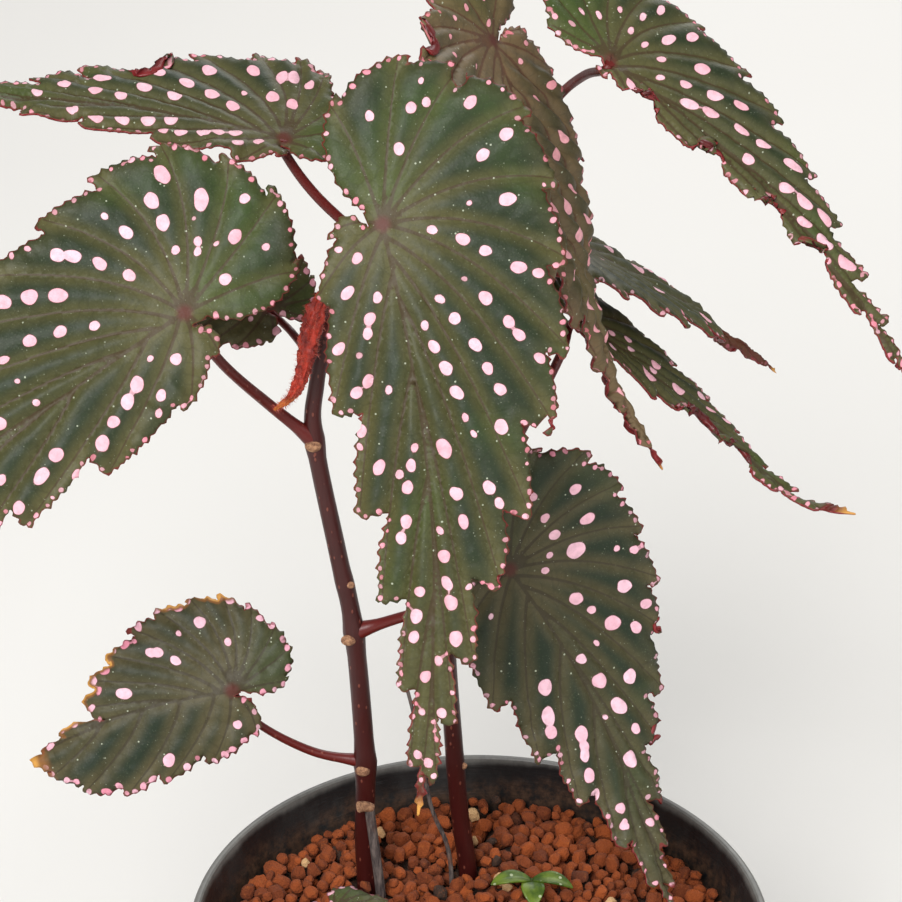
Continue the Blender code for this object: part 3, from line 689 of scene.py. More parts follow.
# %% Leaf
class Leaf:
    """One leaf: where its blade starts and ends, which way it faces, and how it is bent."""

    # What most leaves share. Lengths are in millimetres, shares are of the blade's length.
    shape = "long"
    width, narrow, lobe = 1.0, 1.0, 1.0  # of the whole, of the narrow half, of the broad lobe
    arch, fold, pleat, twist, curl = 0.05, 0.15, 0.014, 0, 0.0
    ruffle, ripple = 0.8, 0.0  # how much the edge waves, and how high the folds across it are
    stalk, stalk_radius = (), 1.1
    tears = ()  # for each: the half, the share of its edge, how wide and how deep
    lips = ()  # for each: the half, the vein, how long, how wide, and the turn in degrees
    strip = None  # where the tip narrows to a strip, over how much, how far, and how brown
    dried = ()  # for each dry patch: where it lies, across and along, and how far it reaches
    dry_tip = 4.0
    spotted, spot_share, spot_long, fleck = 1.0, 0.15, 1.0, 1.0
    finish = "grown"

    def __init__(self, name, base, tip, facing, side, **own):
        vars(self).update(own)  # the numbers in which this leaf differs
        self.name = name
        self.base = Vector(base) * MM
        self.tip = Vector(tip) * MM
        self.side = side
        self.twist = math.radians(self.twist)
        self.stalk = in_mm(self.stalk)
        self.stalk_radius *= MM
        run = self.tip - self.base
        self.length = run.length / MM
        self.along = run.normalized()
        facing = Vector(facing)
        self.up = (facing - facing.dot(self.along) * self.along).normalized()
        self.across = side * self.up.cross(self.along)
        self.square = (self.up - 4 * self.arch * self.along).normalized()

    def laid(self, flat):
        """Points of the plan in millimetres on this leaf, laid flat."""
        across, along = flat[:, 0], flat[:, 1]
        rib = MIDRIB_BOW * np.sin(math.pi * np.clip(along, 0, 1))
        from_rib = (across - rib) * self.width
        from_rib = np.where(from_rib < 0, from_rib * self.narrow, from_rib)
        along = np.where(along < 0, along * self.lobe, along)
        return np.column_stack([rib * self.width + from_rib, along]) * self.length

    def bent(self, laid, rise, extra):
        """The laid-out points in space; `extra` is height in millimetres on top of the bends."""
        across, along = laid.T / self.length
        rib = self.width * MIDRIB_BOW * np.sin(math.pi * np.clip(along, 0, 1))
        height = self.arch * 4 * along * (1 - along)
        height -= self.fold * np.abs(across - rib) ** 1.5
        height += self.pleat * rise * np.clip(np.hypot(across, along) / 0.25, 0, 1)
        height -= self.curl * np.clip((along - 0.75) / 0.25, 0, 1) ** 2
        height += extra / self.length
        turn = self.twist * along
        sideways = across * np.cos(turn) - height * np.sin(turn)
        outward = across * np.sin(turn) + height * np.cos(turn)
        run = np.outer(sideways, self.across) + np.outer(along, self.along)
        return np.array(self.base) + self.length * MM * (run + np.outer(outward, self.up))

# %% The leaves
LEAVES = {
    leaf.name: leaf
    for leaf in (
        Leaf("leaf_front", (-20, 4, 278), (-13, -45, 170), (0.0, -0.86, 0.5), 1,
             width=0.96, arch=0.03, dry_tip=13, tears=((1, 0.213, 5, 5.5), (1, 0.58, 2.4, 3)),
             lips=(("b", 7, 2, 1.0, 120), ("b", 9, 1.8, 0.9, 120)),
             stalk=((-32.8, 28.6, 242), (-29, 27, 254), (-23, 13, 270))),
        Leaf("leaf_left", (-60, 4, 258.5), (-138, -32, 192.5), (0.0, -0.88, 0.48), -1,
             narrow=1.09, arch=0.03,
             stalk=((-35.8, 28, 216.5), (-44.8, 24, 227), (-53.7, 14, 242))),
        Leaf("leaf_upper_left", (-41, 38, 282.5), (-126, 34, 294), (0.1, -0.28, 0.96), -1,
             narrow=0.83, lobe=0.5, arch=0.0, fold=0.0, twist=-17, lips=(("b", 7, 6, 4, 160),),
             stalk=((-6, 36, 236), (-16, 38, 250), (-34, 39, 268))),
        Leaf("leaf_top", (2.5, 58, 296), (35.5, 31, 206), (0.74, -0.38, 0.56), -1,
             width=1.04, narrow=1.28, lobe=0.5, arch=0.026, fold=-0.16, twist=26, pleat=0.018,
             curl=-0.055, dry_tip=9, ripple=0.5, strip=(0.42, 0.4, 0.25, 0), spot_share=0.1,
             lips=(("b", 3, 4.5, 3, 160),),
             stalk=((-2.5, 37, 250), (-2, 42, 264), (0.5, 53, 284)), finish="young"),
        Leaf("leaf_upper_right", (26.5, 40, 298.4), (90.5, 13, 236), (0.45, -0.5, 0.74), 1,
             width=0.9, narrow=0.5, lobe=0.75, arch=0.03, fold=0.05, twist=-2, dry_tip=7, spot_long=1.35,
             lips=tuple(("n", vein, 4.6, 3.4, 165) for vein in (1, 2, 3, 4)),
             stalk=((-4, 36, 238), (0, 50, 254), (8, 66, 266), (16.5, 71, 277.5), (22, 61, 287))),
        Leaf("leaf_right_high", (19, 77, 242), (72.5, 104, 194.5), (0.45, 0.1, 0.88), -1,
             narrow=1.25, lobe=0.85, arch=0.025, fold=0.0, dry_tip=12,
             strip=(0.60, 0.06, 0.1, 0.58), spotted=0.4, spot_long=1.3,
             stalk=((-5, 35, 206), (-4, 48, 226), (0, 61, 241), (10, 71, 242))),
        Leaf("leaf_right_low", (22, 60, 230), (79.5, 49, 180), (0.54, 0.06, 0.84), 1,
             narrow=0.84, lobe=0.7, arch=0.0, fold=0.0, twist=7.5, curl=-0.12, dry_tip=12,
             spotted=0.6, spot_long=1.2, lips=(("n", 3, 7, 4.4, 165), ("n", 4, 6, 3.6, 165)),
             stalk=((-6, 34, 186), (4, 43, 200), (17, 55, 221))),
        Leaf("leaf_lower_right", (6, 8, 196), (43, -12, 120.5), (0.04, -0.79, 0.62), 1,
             width=1.13, narrow=1.38, arch=-0.045, fold=0.17, twist=-29,
             lips=(("b", 7, 3, 1.4, 140), ("b", 9, 4, 1.8, 150)),
             stalk=((-27.8, 28, 168), (-20, 26, 172), (-4, 15, 185)), finish="old"),
        Leaf("leaf_lower_left", (-55, 20, 157.5), (-100, 12.5, 144), (0.0, -0.88, 0.48), -1,
             shape="round", arch=0.02, dry_tip=8, fleck=1.6,
             dried=((0.45, -0.07, 7), (0.46, 0.14, 6), (0.33, 0.52, 6), (0.22, 0.64, 7),
                    (0.12, 0.78, 6)),
             tears=((1, 0.83, 8, 6),),
             stalk=((-26, 28, 133), (-38, 27, 136.5), (-50, 23, 147)), stalk_radius=0.9,
             finish="old"),
        Leaf("leaf_behind_left", (-46.5, 50, 237.5), (-79, 51, 240), (0.0, -0.88, 0.48), -1,
             shape="round", spotted=0.6, fleck=1.5,
             stalk=((-34, 28.5, 236), (-36, 38, 231), (-42, 50.5, 232)),
             stalk_radius=0.9),
        Leaf("leaf_low_front", (-32.5, -1, 113), (-36.5, -29, 106), (0.0, -0.25, 0.97), 1,
             shape="round", width=1.1, fleck=1.6,
             stalk=((-27, 12, 62), (-27, 12, 97), (-27, 11.8, 105), (-29.5, 6, 110.5)),
             stalk_radius=0.9),
    )
}
print(len(LEAVES), "leaves,", round(min(leaf.length for leaf in LEAVES.values())), "to",
      round(max(leaf.length for leaf in LEAVES.values())), "mm long")

# %% [markdown]
# ## Margin, teeth and spots
#
# The edge of a blade is what tells begonias apart. Between two vein ends it swells out in a
# lobe, beside each vein end it steps sharply in, and all the way round it carries small teeth
# with a pink fleck at the foot of most. The bigger spots lie in rows between the veins, a
# little longer than wide. The edge and its flecks are drawn at random from a seed for each
# leaf, within limits that suit the photograph. The rows are drawn too, and are largest where
# the veins are far apart, except on five leaves where they are listed one by one as they are seen.

# %% Margin
MARGIN_STEP = 0.45
TOOTH_APART = (1.4, 3.3)
TOOTH_HEIGHT = (0.3, 1.0)
FLECK_SIZE = (0.28, 0.56)
TOOTH_FRONT, TOOTH_BACK = 1.3, 0.5  # how far its two sides run along the edge, in mm
TOOTHLESS_TIP = 1.5
FLECK_CHANCE = 0.75
STEP_DEPTH = (1.15, 1.6)  # how much deeper than the solids' the steps behind the teeth are cut
LEAN_FROM, POINT_FROM = 0.8, 0.82  # shares of a lobe where its edge leans and swells to a tooth
POINT_OUT = 0.3


def lobe_edge(start, stop, depth):
    """Shares of the half outline and depths behind it, from one tooth round to the next."""
    found = []
    for u in np.linspace(0, 1, 32)[:-1]:
        share = start + (stop - start) * u
        if u < NOTCH_SHARE:
            t = u / NOTCH_SHARE
            found.append((share + TOOTH_HOOK * (1 - t) ** 2, depth * math.sin(t * math.pi / 2)))
        else:
            t = (u - NOTCH_SHARE) / (1 - NOTCH_SHARE)
            lean = TOOTH_HOOK * max(0, (t - LEAN_FROM) / (1 - LEAN_FROM)) ** 2
            point = POINT_OUT * max(0, (t - POINT_FROM) / (1 - POINT_FROM)) ** 1.5
            found.append((share + lean, depth * ((1 - t) ** 1.8 - point)))
    return found


def evenly_spaced(line, step):
    """The same line with its points about one step apart."""
    shares = arc_shares(line)
    total = np.linalg.norm(np.diff(line, axis=0), axis=1).sum()
    return np.array([point_at(line, shares, k) for k in np.linspace(0, 1, int(total / step) + 1)])


def half_margin(leaf, outline, veins, inward_sign, draw):
    """One half of a leaf's edge in millimetres, and where the flecks at its teeth lie."""
    flat = smooth_curve(outline, 16)
    shares = arc_shares(flat)
    curve = leaf.laid(flat)
    stops = [0.0] + [stop for stop, _, _ in veins] + [1.0]
    depths = [BASE_STEP] + [depth for _, _, depth in veins]
    edge = []
    for start, stop, depth in zip(stops, stops[1:], depths):
        depth = depth * leaf.length * draw.uniform(*STEP_DEPTH)
        for share, step_in in lobe_edge(start, stop, depth):
            here = point_at(curve, shares, min(share, 1))
            ahead = point_at(curve, shares, min(share + 0.01, 1)) - here
            inward = inward_sign * np.array([-ahead[1], ahead[0]])
            edge.append(here + inward / max(np.linalg.norm(inward), 1e-9) * step_in)
    edge = evenly_spaced(np.array(edge + [curve[-1]]), MARGIN_STEP)
    for half, place, width, depth in leaf.tears:
        if half == inward_sign:
            cut_tear(edge, place, width, depth, inward_sign)
    ahead = np.gradient(edge, axis=0)
    outward = -inward_sign * np.column_stack([-ahead[:, 1], ahead[:, 0]])
    outward /= np.maximum(np.linalg.norm(outward, axis=1), 1e-9)[:, None]
    run = np.arange(len(edge)) * MARGIN_STEP
    toothed = edge.copy()
    flecks = []
    at = draw.uniform(*TOOTH_APART)
    while at < run[-1] - TOOTHLESS_TIP:
        tall = draw.uniform(*TOOTH_HEIGHT)
        before = np.clip(1 - (at - run) / TOOTH_FRONT, 0, 1) * (run <= at)
        behind = np.clip(1 - (run - at) / TOOTH_BACK, 0, 1) * (run > at)
        toothed += outward * ((before + behind) * tall)[:, None]
        k = int(round(at / MARGIN_STEP))
        if draw.random() < FLECK_CHANCE:
            flecks.append(edge[k] - outward[k] * draw.uniform(0.0, 0.6))
        at += draw.uniform(*TOOTH_APART)
    return toothed, flecks


def cut_tear(edge, place, width, depth, inward_sign):
    """Pulls the edge in to a ragged point round one place along it."""
    middle = int(place * (len(edge) - 1))
    reach = max(1, int(width / MARGIN_STEP / 2))
    ahead = edge[min(middle + reach, len(edge) - 1)] - edge[max(middle - reach, 0)]
    inward = inward_sign * np.array([-ahead[1], ahead[0]]) / np.linalg.norm(ahead)
    for k in range(max(middle - reach, 0), min(middle + reach + 1, len(edge))):
        edge[k] += inward * depth * (1 - abs(k - middle) / (reach + 1)) ** 0.7

# %% One spot
class Spot:
    """One pale spot: its middle, half length and half width, turn, redness and wobble."""

    def __init__(self, middle, long, wide, turn, red, draw):
        self.middle = np.array(middle)
        self.size = np.array([long, wide])
        self.turn = turn
        self.red = red
        self.wobble = [(n, draw.uniform(0.05, 0.15) / n, draw.uniform(0, math.tau)) for n in (2, 3, 5)]

    def edge_at(self, angle):
        """How far the wobbling edge is from the middle, as a share of the plain oval's."""
        return 1 + sum(much * np.cos(n * angle + phase) for n, much, phase in self.wobble)

    def outside(self, points):
        """How far each point lies outside the spot, in millimetres; negative is inside."""
        c, s = math.cos(self.turn), math.sin(self.turn)
        away = (points - self.middle) @ np.array([[c, -s], [s, c]]) / self.size
        share = np.hypot(*away.T) / self.edge_at(np.arctan2(away[:, 1], away[:, 0]))
        return (share - 1) * math.sqrt(self.size[0] * self.size[1])

    def ring(self, count):
        """Points along the spot's edge."""
        angle = np.linspace(0, math.tau, count, endpoint=False)
        c, s = math.cos(self.turn), math.sin(self.turn)
        out = np.column_stack([np.cos(angle), np.sin(angle)]) * self.edge_at(angle)[:, None]
        return self.middle + (out * self.size) @ np.array([[c, s], [-s, c]])

# %% Spots listed one by one
# Rows seen from the front on five leaves. For each gap between two veins: the share of the
# way along it, the half width in mm, and how far aside where it isn't in the middle (-0.5 is
# the vein before and 0.5 the one after).
SEEN_SPOTS = {
    "leaf_front": {
        "b0": [(0.75, 1.0)],
        "b1": [(0.45, 1.1), (0.70, 1.1), (0.74, 0.9, 0.3), (0.87, 0.6)],
        "b2": [(0.84, 1.2)],
        "b3": [(0.68, 1.2), (0.85, 1.3, -0.2)],
        "b4": [(0.72, 1.5, -0.1), (0.50, 0.5)],
        "b5": [(0.25, 0.9), (0.41, 1.2), (0.53, 1.1, 0.04), (0.72, 1.3), (0.84, 1.1, -0.1)],
        "b6": [(0.40, 0.5), (0.52, 1.3), (0.66, 1.2), (0.725, 1.1, 0.02), (0.86, 1.0)],
        "b7": [(0.28, 0.9), (0.37, 1.2), (0.50, 1.2, -0.05), (0.59, 1.1), (0.68, 1.2),
               (0.74, 1.5, 0.33)],
        "b8": [(0.20, 0.8), (0.27, 1.1, 0.05), (0.36, 1.2), (0.45, 1.2), (0.53, 0.7, 0.05),
               (0.60, 0.6), (0.77, 1.2, 0.1), (0.85, 1.0)],
        "b9": [(0.40, 1.5), (0.56, 1.3), (0.66, 1.1)],
        "b10": [(0.40, 0.7), (0.50, 1.2), (0.59, 1.1, 0.05), (0.68, 1.3), (0.82, 1.3),
                (0.89, 1.1, 0.05)],
        "b11": [(0.60, 0.8), (0.85, 1.0)],
        "b12": [(0.84, 0.9)],
        "n0": [(0.75, 0.7)],
        "n1": [(0.35, 1.1, -0.2), (0.55, 1.2), (0.80, 1.1, 0.25)],
        "n2": [(0.20, 1.0, 0.1), (0.33, 1.1), (0.39, 1.0, 0.03), (0.52, 1.2, 0.3), (0.54, 0.6, -0.1),
               (0.68, 1.2), (0.74, 1.1, 0.3), (0.82, 1.2, 0.2)],
        "n3": [(0.63, 1.2), (0.30, 0.7)],
        "n4": [(0.12, 0.8), (0.20, 1.0), (0.30, 1.2), (0.38, 0.9, -0.3), (0.41, 1.2, 0.1),
               (0.53, 1.1)],
        "n5": [(0.30, 1.0), (0.43, 1.2), (0.54, 1.0)],
        "n6": [(0.42, 1.1), (0.60, 0.6), (0.82, 0.8)],
    },
    "leaf_left": {
        "b0": [(0.40, 1.2), (0.80, 0.8)],
        "b1": [(0.60, 1.3, -0.2), (0.48, 0.5, 0.3), (0.84, 1.0)],
        "b2": [(0.38, 0.8), (0.44, 0.9, 0.04), (0.57, 0.4, 0.2), (0.70, 1.7)],
        "b3": [(0.38, 0.9), (0.56, 1.5, 0.1), (0.71, 1.5, 0.1), (0.84, 1.6, -0.3)],
        "b4": [(0.60, 1.3), (0.76, 0.7)],
        "b5": [(0.36, 1.2), (0.53, 1.3), (0.68, 1.4), (0.75, 1.4, 0.04), (0.92, 0.6)],
        "b6": [(0.57, 1.5), (0.70, 1.6), (0.82, 1.6, 0.05)],
        "b7": [(0.30, 1.0), (0.44, 1.2), (0.56, 1.3, 0.05), (0.64, 0.9, 0.3), (0.78, 1.5),
               (0.90, 1.1)],
        "b8": [(0.50, 0.5), (0.66, 1.2)],
        "b9": [(0.26, 0.7), (0.42, 1.3), (0.51, 1.1), (0.66, 1.3), (0.80, 1.2)],
        "b10": [(0.45, 0.8), (0.62, 1.2), (0.78, 1.1)],
        "b11": [(0.60, 1.0)],
        "n1": [(0.36, 1.2), (0.62, 1.1, 0.1), (0.80, 0.8)],
        "n2": [(0.18, 0.6), (0.33, 1.4), (0.43, 1.4), (0.54, 1.2, 0.05), (0.68, 1.4),
               (0.85, 1.2, 0.1)],
        "n3": [(0.50, 1.4), (0.62, 1.4), (0.80, 1.2)],
        "n4": [(0.35, 1.0), (0.55, 1.2), (0.75, 1.0)],
        "n5": [(0.45, 1.0), (0.70, 0.9)],
    },
    "leaf_lower_right": {
        "b2": [(0.60, 1.1)],
        "b3": [(0.45, 1.0), (0.75, 1.2)],
        "b4": [(0.40, 1.1), (0.66, 1.3)],
        "b5": [(0.28, 0.7), (0.46, 2.0), (0.75, 0.7), (0.88, 1.0)],
        "b6": [(0.20, 0.8), (0.72, 1.5), (0.88, 1.3, 0.2)],
        "b7": [(0.35, 1.5), (0.45, 1.0, 0.1), (0.60, 1.8, 0.1), (0.78, 1.3, -0.15)],
        "b8": [(0.45, 0.6), (0.72, 1.6)],
        "b9": [(0.24, 1.1), (0.40, 1.6), (0.58, 1.7), (0.74, 1.1)],
        "b10": [(0.30, 0.5), (0.60, 1.6)],
        "b11": [(0.70, 0.9)],
        "n1": [(0.45, 0.6)],
        "n3": [(0.42, 1.6), (0.60, 1.6), (0.70, 1.4)],
        "n4": [(0.40, 1.5), (0.47, 1.2, 0.03), (0.54, 1.2), (0.68, 1.4), (0.78, 1.3, 0.1)],
        "n5": [(0.55, 1.1), (0.68, 1.0)],
    },
    "leaf_lower_left": {
        "b4": [(0.50, 0.8)],
        "b5": [(0.74, 1.3, -0.2)],
        "b6": [(0.70, 0.6, -0.2)],
        "b7": [(0.50, 1.0), (0.67, 1.2, -0.05), (0.72, 1.0, 0.05)],
        "b9": [(0.62, 1.35)],
        "n1": [(0.60, 1.0)],
        "n3": [(0.66, 1.4)],
    },
    "leaf_upper_left": {
        "b3": [(0.70, 1.0)],
        "b4": [(0.40, 1.4, -0.1), (0.72, 1.4, -0.2), (0.70, 1.5, 0.3)],
        "b5": [(0.42, 1.4), (0.72, 1.4)],
        "b6": [(0.42, 0.6), (0.72, 1.4)],
        "b7": [(0.28, 1.3), (0.42, 1.3), (0.58, 1.5), (0.76, 1.4), (0.90, 1.2)],
        "b8": [(0.42, 1.3), (0.58, 1.4), (0.80, 1.4)],
        "b9": [(0.45, 1.2), (0.58, 1.2), (0.74, 1.2)],
        "b10": [(0.60, 1.0)],
        "n1": [(0.30, 1.0), (0.55, 1.1)],
        "n2": [(0.22, 1.2), (0.34, 1.2), (0.44, 1.2), (0.60, 1.1), (0.72, 1.0)],
        "n3": [(0.30, 1.3), (0.44, 1.4), (0.60, 1.3), (0.76, 1.2)],
        "n4": [(0.50, 1.0)],
    },
}


print(sum(len(row) for rows in SEEN_SPOTS.values() for row in rows.values()), "spots placed by hand")

# %% Spots between the veins
SPOT_APART = (4.6, 8.2)
SPOT_SIZE = (0.8, 1.4)
SPOT_SCALE = 0.88
LEAST_ROOM = 3.4  # the narrowest gap that holds a drawn spot, in mm
SPOT_CLEARANCE, EDGE_CLEARANCE, FLECK_CLEARANCE = 0.7, 0.8, 0.45


def gaps_between(leaf, midrib, halves):
    """Each gap by its name: the vein before it and the vein, or piece of midrib, after it."""
    found = {}
    for half, lines, veins in zip("bn", halves, (BROAD_VEINS, NARROW_VEINS)):
        rib = np.array([midrib_point(share) for share in np.linspace(veins[-1][1], 1, 17)])
        for k, (line, after) in enumerate(zip(lines, lines[1:] + [leaf.laid(rib)])):
            found[f"{half}{k}"] = (line, after)
    return found


def spot_in_gap(gap, draw, share, size, aside=0):
    """A spot between two veins, turned to lie along them."""
    here, there = (point_at(line, arc_shares(line), share) for line in gap)
    run = point_at(gap[0], arc_shares(gap[0]), min(share + 0.04, 1)) - here
    turn = math.atan2(run[1], run[0]) + draw.uniform(-0.25, 0.25)
    middle = (here + there) / 2 + (there - here) * aside
    size *= SPOT_SCALE
    return Spot(middle, size * draw.uniform(1.15, 1.5), size, turn, draw.uniform(0, 0.3), draw)


def spots_by_chance(gap, spot_share, draw):
    """A row of spots between two neighbouring veins, where the gap leaves room for them."""
    total = np.linalg.norm(gap[0][-1] - gap[0][0])
    found = []
    at = draw.uniform(0.15, 0.35) * total
    while at < total * 0.9:
        room = np.linalg.norm(np.subtract(*[point_at(line, arc_shares(line), at / total) for line in gap]))
        if room > LEAST_ROOM:
            size = min(max(spot_share * room, SPOT_SIZE[0]), SPOT_SIZE[1]) * draw.uniform(0.6, 1.1)
            found.append(spot_in_gap(gap, draw, at / total, size, draw.uniform(-0.1, 0.1)))
        at += draw.uniform(*SPOT_APART)
    return found


def with_room(spots, lines, ring):
    """The spots that lie clear of the veins, of the edge and of the spots before them."""
    kept = []
    for spot in spots:
        here = spot.middle[None]
        reach = max(spot.size)
        clear = all(
            np.linalg.norm(spot.middle - other.middle) > reach + max(other.size) + SPOT_CLEARANCE
            for other in kept
        )
        from_vein = min(away_from(here, line)[0][0] for line in lines)
        from_edge = away_from(here, ring)[0][0]
        if clear and from_vein > 0.9 * min(spot.size) and from_edge > reach + EDGE_CLEARANCE:
            kept.append(spot)
    return kept


def spots_on(leaf, gaps, lines, ring, flecks, draw):
    """The spots, listed or drawn, and after them the flecks at the teeth."""
    if leaf.name in SEEN_SPOTS:
        rows = SEEN_SPOTS[leaf.name].items()
        spots = [spot_in_gap(gaps[gap], draw, *numbers) for gap, row in rows for numbers in row]
        spots = [spot for spot in spots if is_inside(spot.middle[None], ring)[0]]
    else:
        spots = [spot for gap in gaps.values() for spot in spots_by_chance(gap, leaf.spot_share, draw)
                 if draw.random() < leaf.spotted]
        spots = with_room(spots, lines, ring)
        for spot in spots:
            spot.size[0] *= leaf.spot_long
    for place in flecks:
        size = draw.uniform(*FLECK_SIZE) * leaf.fleck
        long = size * draw.uniform(1, 1.5)
        if all(np.linalg.norm(place - spot.middle) > long + max(spot.size) + FLECK_CLEARANCE
               for spot in spots):
            spots.append(Spot(place, long, size, draw.uniform(0, math.pi), draw.uniform(0.1, 0.9), draw))
    return spots

# %% [markdown]
# ## The blade as a mesh
#
# The flat plan is filled with points: the edge, the veins, a ring round every spot and a
# triangular grid between. Blender's Delaunay routine joins them into even triangles, so that
# creases run exactly along the veins and spots keep a crisp outline. The sheet is then bent
# into place, and Solidify gives it its thickness and a second finish underneath. What the
# finish needs to know is stored at every point: the distances in millimetres from the
# nearest vein, from the edge and from the nearest spot, how red that spot is, and how dry the
# blade is there.

# %% Lines and points that fill the plan
GRID = 0.8  # how far apart the points of the grid lie, in mm
FROM_EDGE, FROM_VEIN, FROM_SPOT = 0.5 * GRID, 0.45 * GRID, 0.25 * GRID  # where the grid stops
CRISP_APART = 0.1  # the least distance between points on veins and rings
RING_POINTS, FLECK_POINTS, FLECK_REACH = 22, 10, 0.8  # a fleck is no wider than its reach


def vein_lines(leaf, outlines):
    """The midrib and then the veins of each half, in millimetres on the laid-out leaf."""
    midrib = leaf.laid(np.array([midrib_point(share) for share in np.linspace(0, 1, 25)]))
    halves = []
    for outline, veins in zip(outlines, (BROAD_VEINS, NARROW_VEINS)):
        flat = smooth_curve(outline, 16)
        shares = arc_shares(flat)
        halves.append([
            leaf.laid(vein_line(midrib_point(start), point_at(flat, shares, stop)))
            for stop, start, _ in veins
        ])
    return midrib, halves


def grid_points(ring, step):
    """Rows of points over the whole box round the ring, every second row half a step aside."""
    low, high = ring.min(axis=0), ring.max(axis=0)
    rows = np.arange(low[1], high[1], step * math.sqrt(3) / 2)
    found = []
    for k, y in enumerate(rows):
        x = np.arange(low[0] + (k % 2) * step / 2, high[0], step)
        found.append(np.column_stack([x, np.full(len(x), y)]))
    return np.vstack(found)


def spaced_out(points, apart):
    """The points that lie clear of every point kept before them, so that no sliver folds over."""
    kept = np.full_like(points, np.inf)
    count = 0
    for point in points:
        if count == 0 or np.hypot(*(kept[:count] - point).T).min() > apart:
            kept[count] = point
            count += 1
    return kept[:count]


def flat_mesh(lines, spots, ring, closed_ring):
    """Points and triangles that fill the plan, with points along every vein and spot."""
    inner = grid_points(ring, GRID)
    inner = inner[is_inside(inner, ring)]
    inner = inner[away_from(inner, closed_ring)[0] > FROM_EDGE]
    near_vein = np.min([away_from(inner, line)[0] for line in lines], axis=0)
    inner = inner[near_vein > FROM_VEIN]
    for spot in spots:
        inner = inner[np.abs(spot.outside(inner)) > FROM_SPOT]
    along_veins = np.vstack([evenly_spaced(line, GRID) for line in lines])
    rings = np.vstack([
        spot.ring(RING_POINTS if min(spot.size) > FLECK_REACH else FLECK_POINTS) for spot in spots
    ])
    crisp = []
    for points, clear in ((along_veins, 0.3), (rings, 0.2)):
        points = points[is_inside(points, ring)]
        crisp.append(points[away_from(points, closed_ring)[0] > clear])
    crisp = spaced_out(np.vstack(crisp), CRISP_APART)
    points = [Vector(point) for point in np.vstack([ring, inner, crisp])]
    made = delaunay_2d_cdt(points, [], [list(range(len(ring)))], 1, 1e-4)
    return np.array([tuple(v) for v in made[0]]), made[2]

# %% Edges turned over
LIP_TURN = 0.35  # the share of a lip's width over which it turns


def turned_lips(leaf, halves, laid, ring, edge, run):
    """How far the edge is turned up and back at each lip, so that its underside shows."""
    moved, lifted = np.zeros_like(laid), np.zeros(len(laid))
    runs = np.concatenate([[0], np.cumsum(np.linalg.norm(np.diff(ring, axis=0), axis=1))])
    ahead, behind = (
        np.column_stack([np.interp(run + step, runs, ring[:, k]) for k in range(2)])
        for step in (1.2, -1.2)
    )
    along = (ahead - behind) / np.maximum(np.linalg.norm(ahead - behind, axis=1), 1e-6)[:, None]
    outward = np.column_stack([along[:, 1], -along[:, 0]])
    middle = np.column_stack([np.interp(run, runs, ring[:, k]) for k in range(2)])
    if is_inside(middle + outward * 0.3, ring).mean() > 0.5:
        outward = -outward
    for half, vein, long, wide, turn in leaf.lips:
        away = np.linalg.norm(middle - halves["bn".index(half)][vein][-1], axis=1)
        here = np.clip(1 - (away / long) ** 2, 0, 1)
        beyond = np.clip(wide * here - edge, 0, None)
        angle = math.radians(turn) * np.clip(beyond / (wide * LIP_TURN), 0, 1)
        moved += outward * (beyond * (np.cos(angle) - 1))[:, None]
        lifted += beyond * np.sin(angle)
    return moved, lifted

# %% Distances and small heights
VEIN_WIDTH = (0.42, 0.14)  # half widths in mm, at the stalk and at the edge
EDGE_WAVE_REACH = 11
EDGE_DROOP, DROOP_REACH = 0.8, 2.4
CREASE, CREASE_REACH = 0.06, 0.9
PUCKER, PUCKER_SCALE = 0.22, 0.42
FOLD_APART = 4.8


def near_veins(laid, lines):
    """How far each point is outside the nearest vein, and from the two nearest midlines."""
    aways, feet = zip(*[away_from(laid, line) for line in lines])
    aways = np.array(aways)
    taper = np.array([foot / np.linalg.norm(line[-1] - line[0]) for foot, line in zip(feet, lines)])
    widths = VEIN_WIDTH[0] + (VEIN_WIDTH[1] - VEIN_WIDTH[0]) * np.clip(taper, 0, 1)
    return (aways - widths).min(axis=0), *np.sort(aways, axis=0)[:2]


def margin_waves(ring_run, draw):
    """How the edge rises and dips round the blade, as a sum of three waves."""
    waves = [(draw.uniform(9, 26), draw.uniform(0.4, 1.0), draw.uniform(0, math.tau)) for _ in range(3)]
    return sum(much * np.sin(math.tau * ring_run / long + phase) for long, much, phase in waves) / 2


def small_heights(leaf, laid, midrib, near, edge, run, draw):
    """What is too fine for the solids: the wave and droop of the edge, creases and folds."""
    wave = margin_waves(run, draw) * np.clip(1 - edge / EDGE_WAVE_REACH, 0, 1) ** 2 * leaf.ruffle
    droop = EDGE_DROOP * np.clip(1 - edge / DROOP_REACH, 0, 1) ** 2
    crease = CREASE * np.exp(-((near / CREASE_REACH) ** 2))
    pucker = np.array([noise.noise(Vector((x, y, 0)) * PUCKER_SCALE) for x, y in laid]) * PUCKER
    from_rib = np.abs(laid[:, 0] - np.interp(laid[:, 1], midrib[:, 1], midrib[:, 0]))
    folds = np.sin((laid[:, 1] - 0.8 * from_rib) * math.tau / FOLD_APART)
    folds *= np.clip(from_rib / 3, 0, 1) * np.clip(laid[:, 1] / 12, 0, 1)
    return wave - droop - crease + pucker * np.clip(edge / 3, 0, 1) + leaf.ripple * folds


def dried_share(leaf, laid, edge):
    """How dry each point is: 1 at the tip and in the dry patches, 0 where the leaf is fresh."""
    dried = np.clip(1 - (leaf.length - laid[:, 1]) / leaf.dry_tip, 0, 1)
    for across, along, reach in leaf.dried:
        away = np.hypot(laid[:, 0] - across * leaf.length, laid[:, 1] - along * leaf.length)
        patch = np.clip(1.25 - away / reach, 0, 1) * np.clip(1 - edge / 1.8, 0, 1)
        dried = np.maximum(dried, patch)
    return dried

# %% Blade
SWELL_GAP = 4.5  # veins nearer to each other than this have a lower swell between them


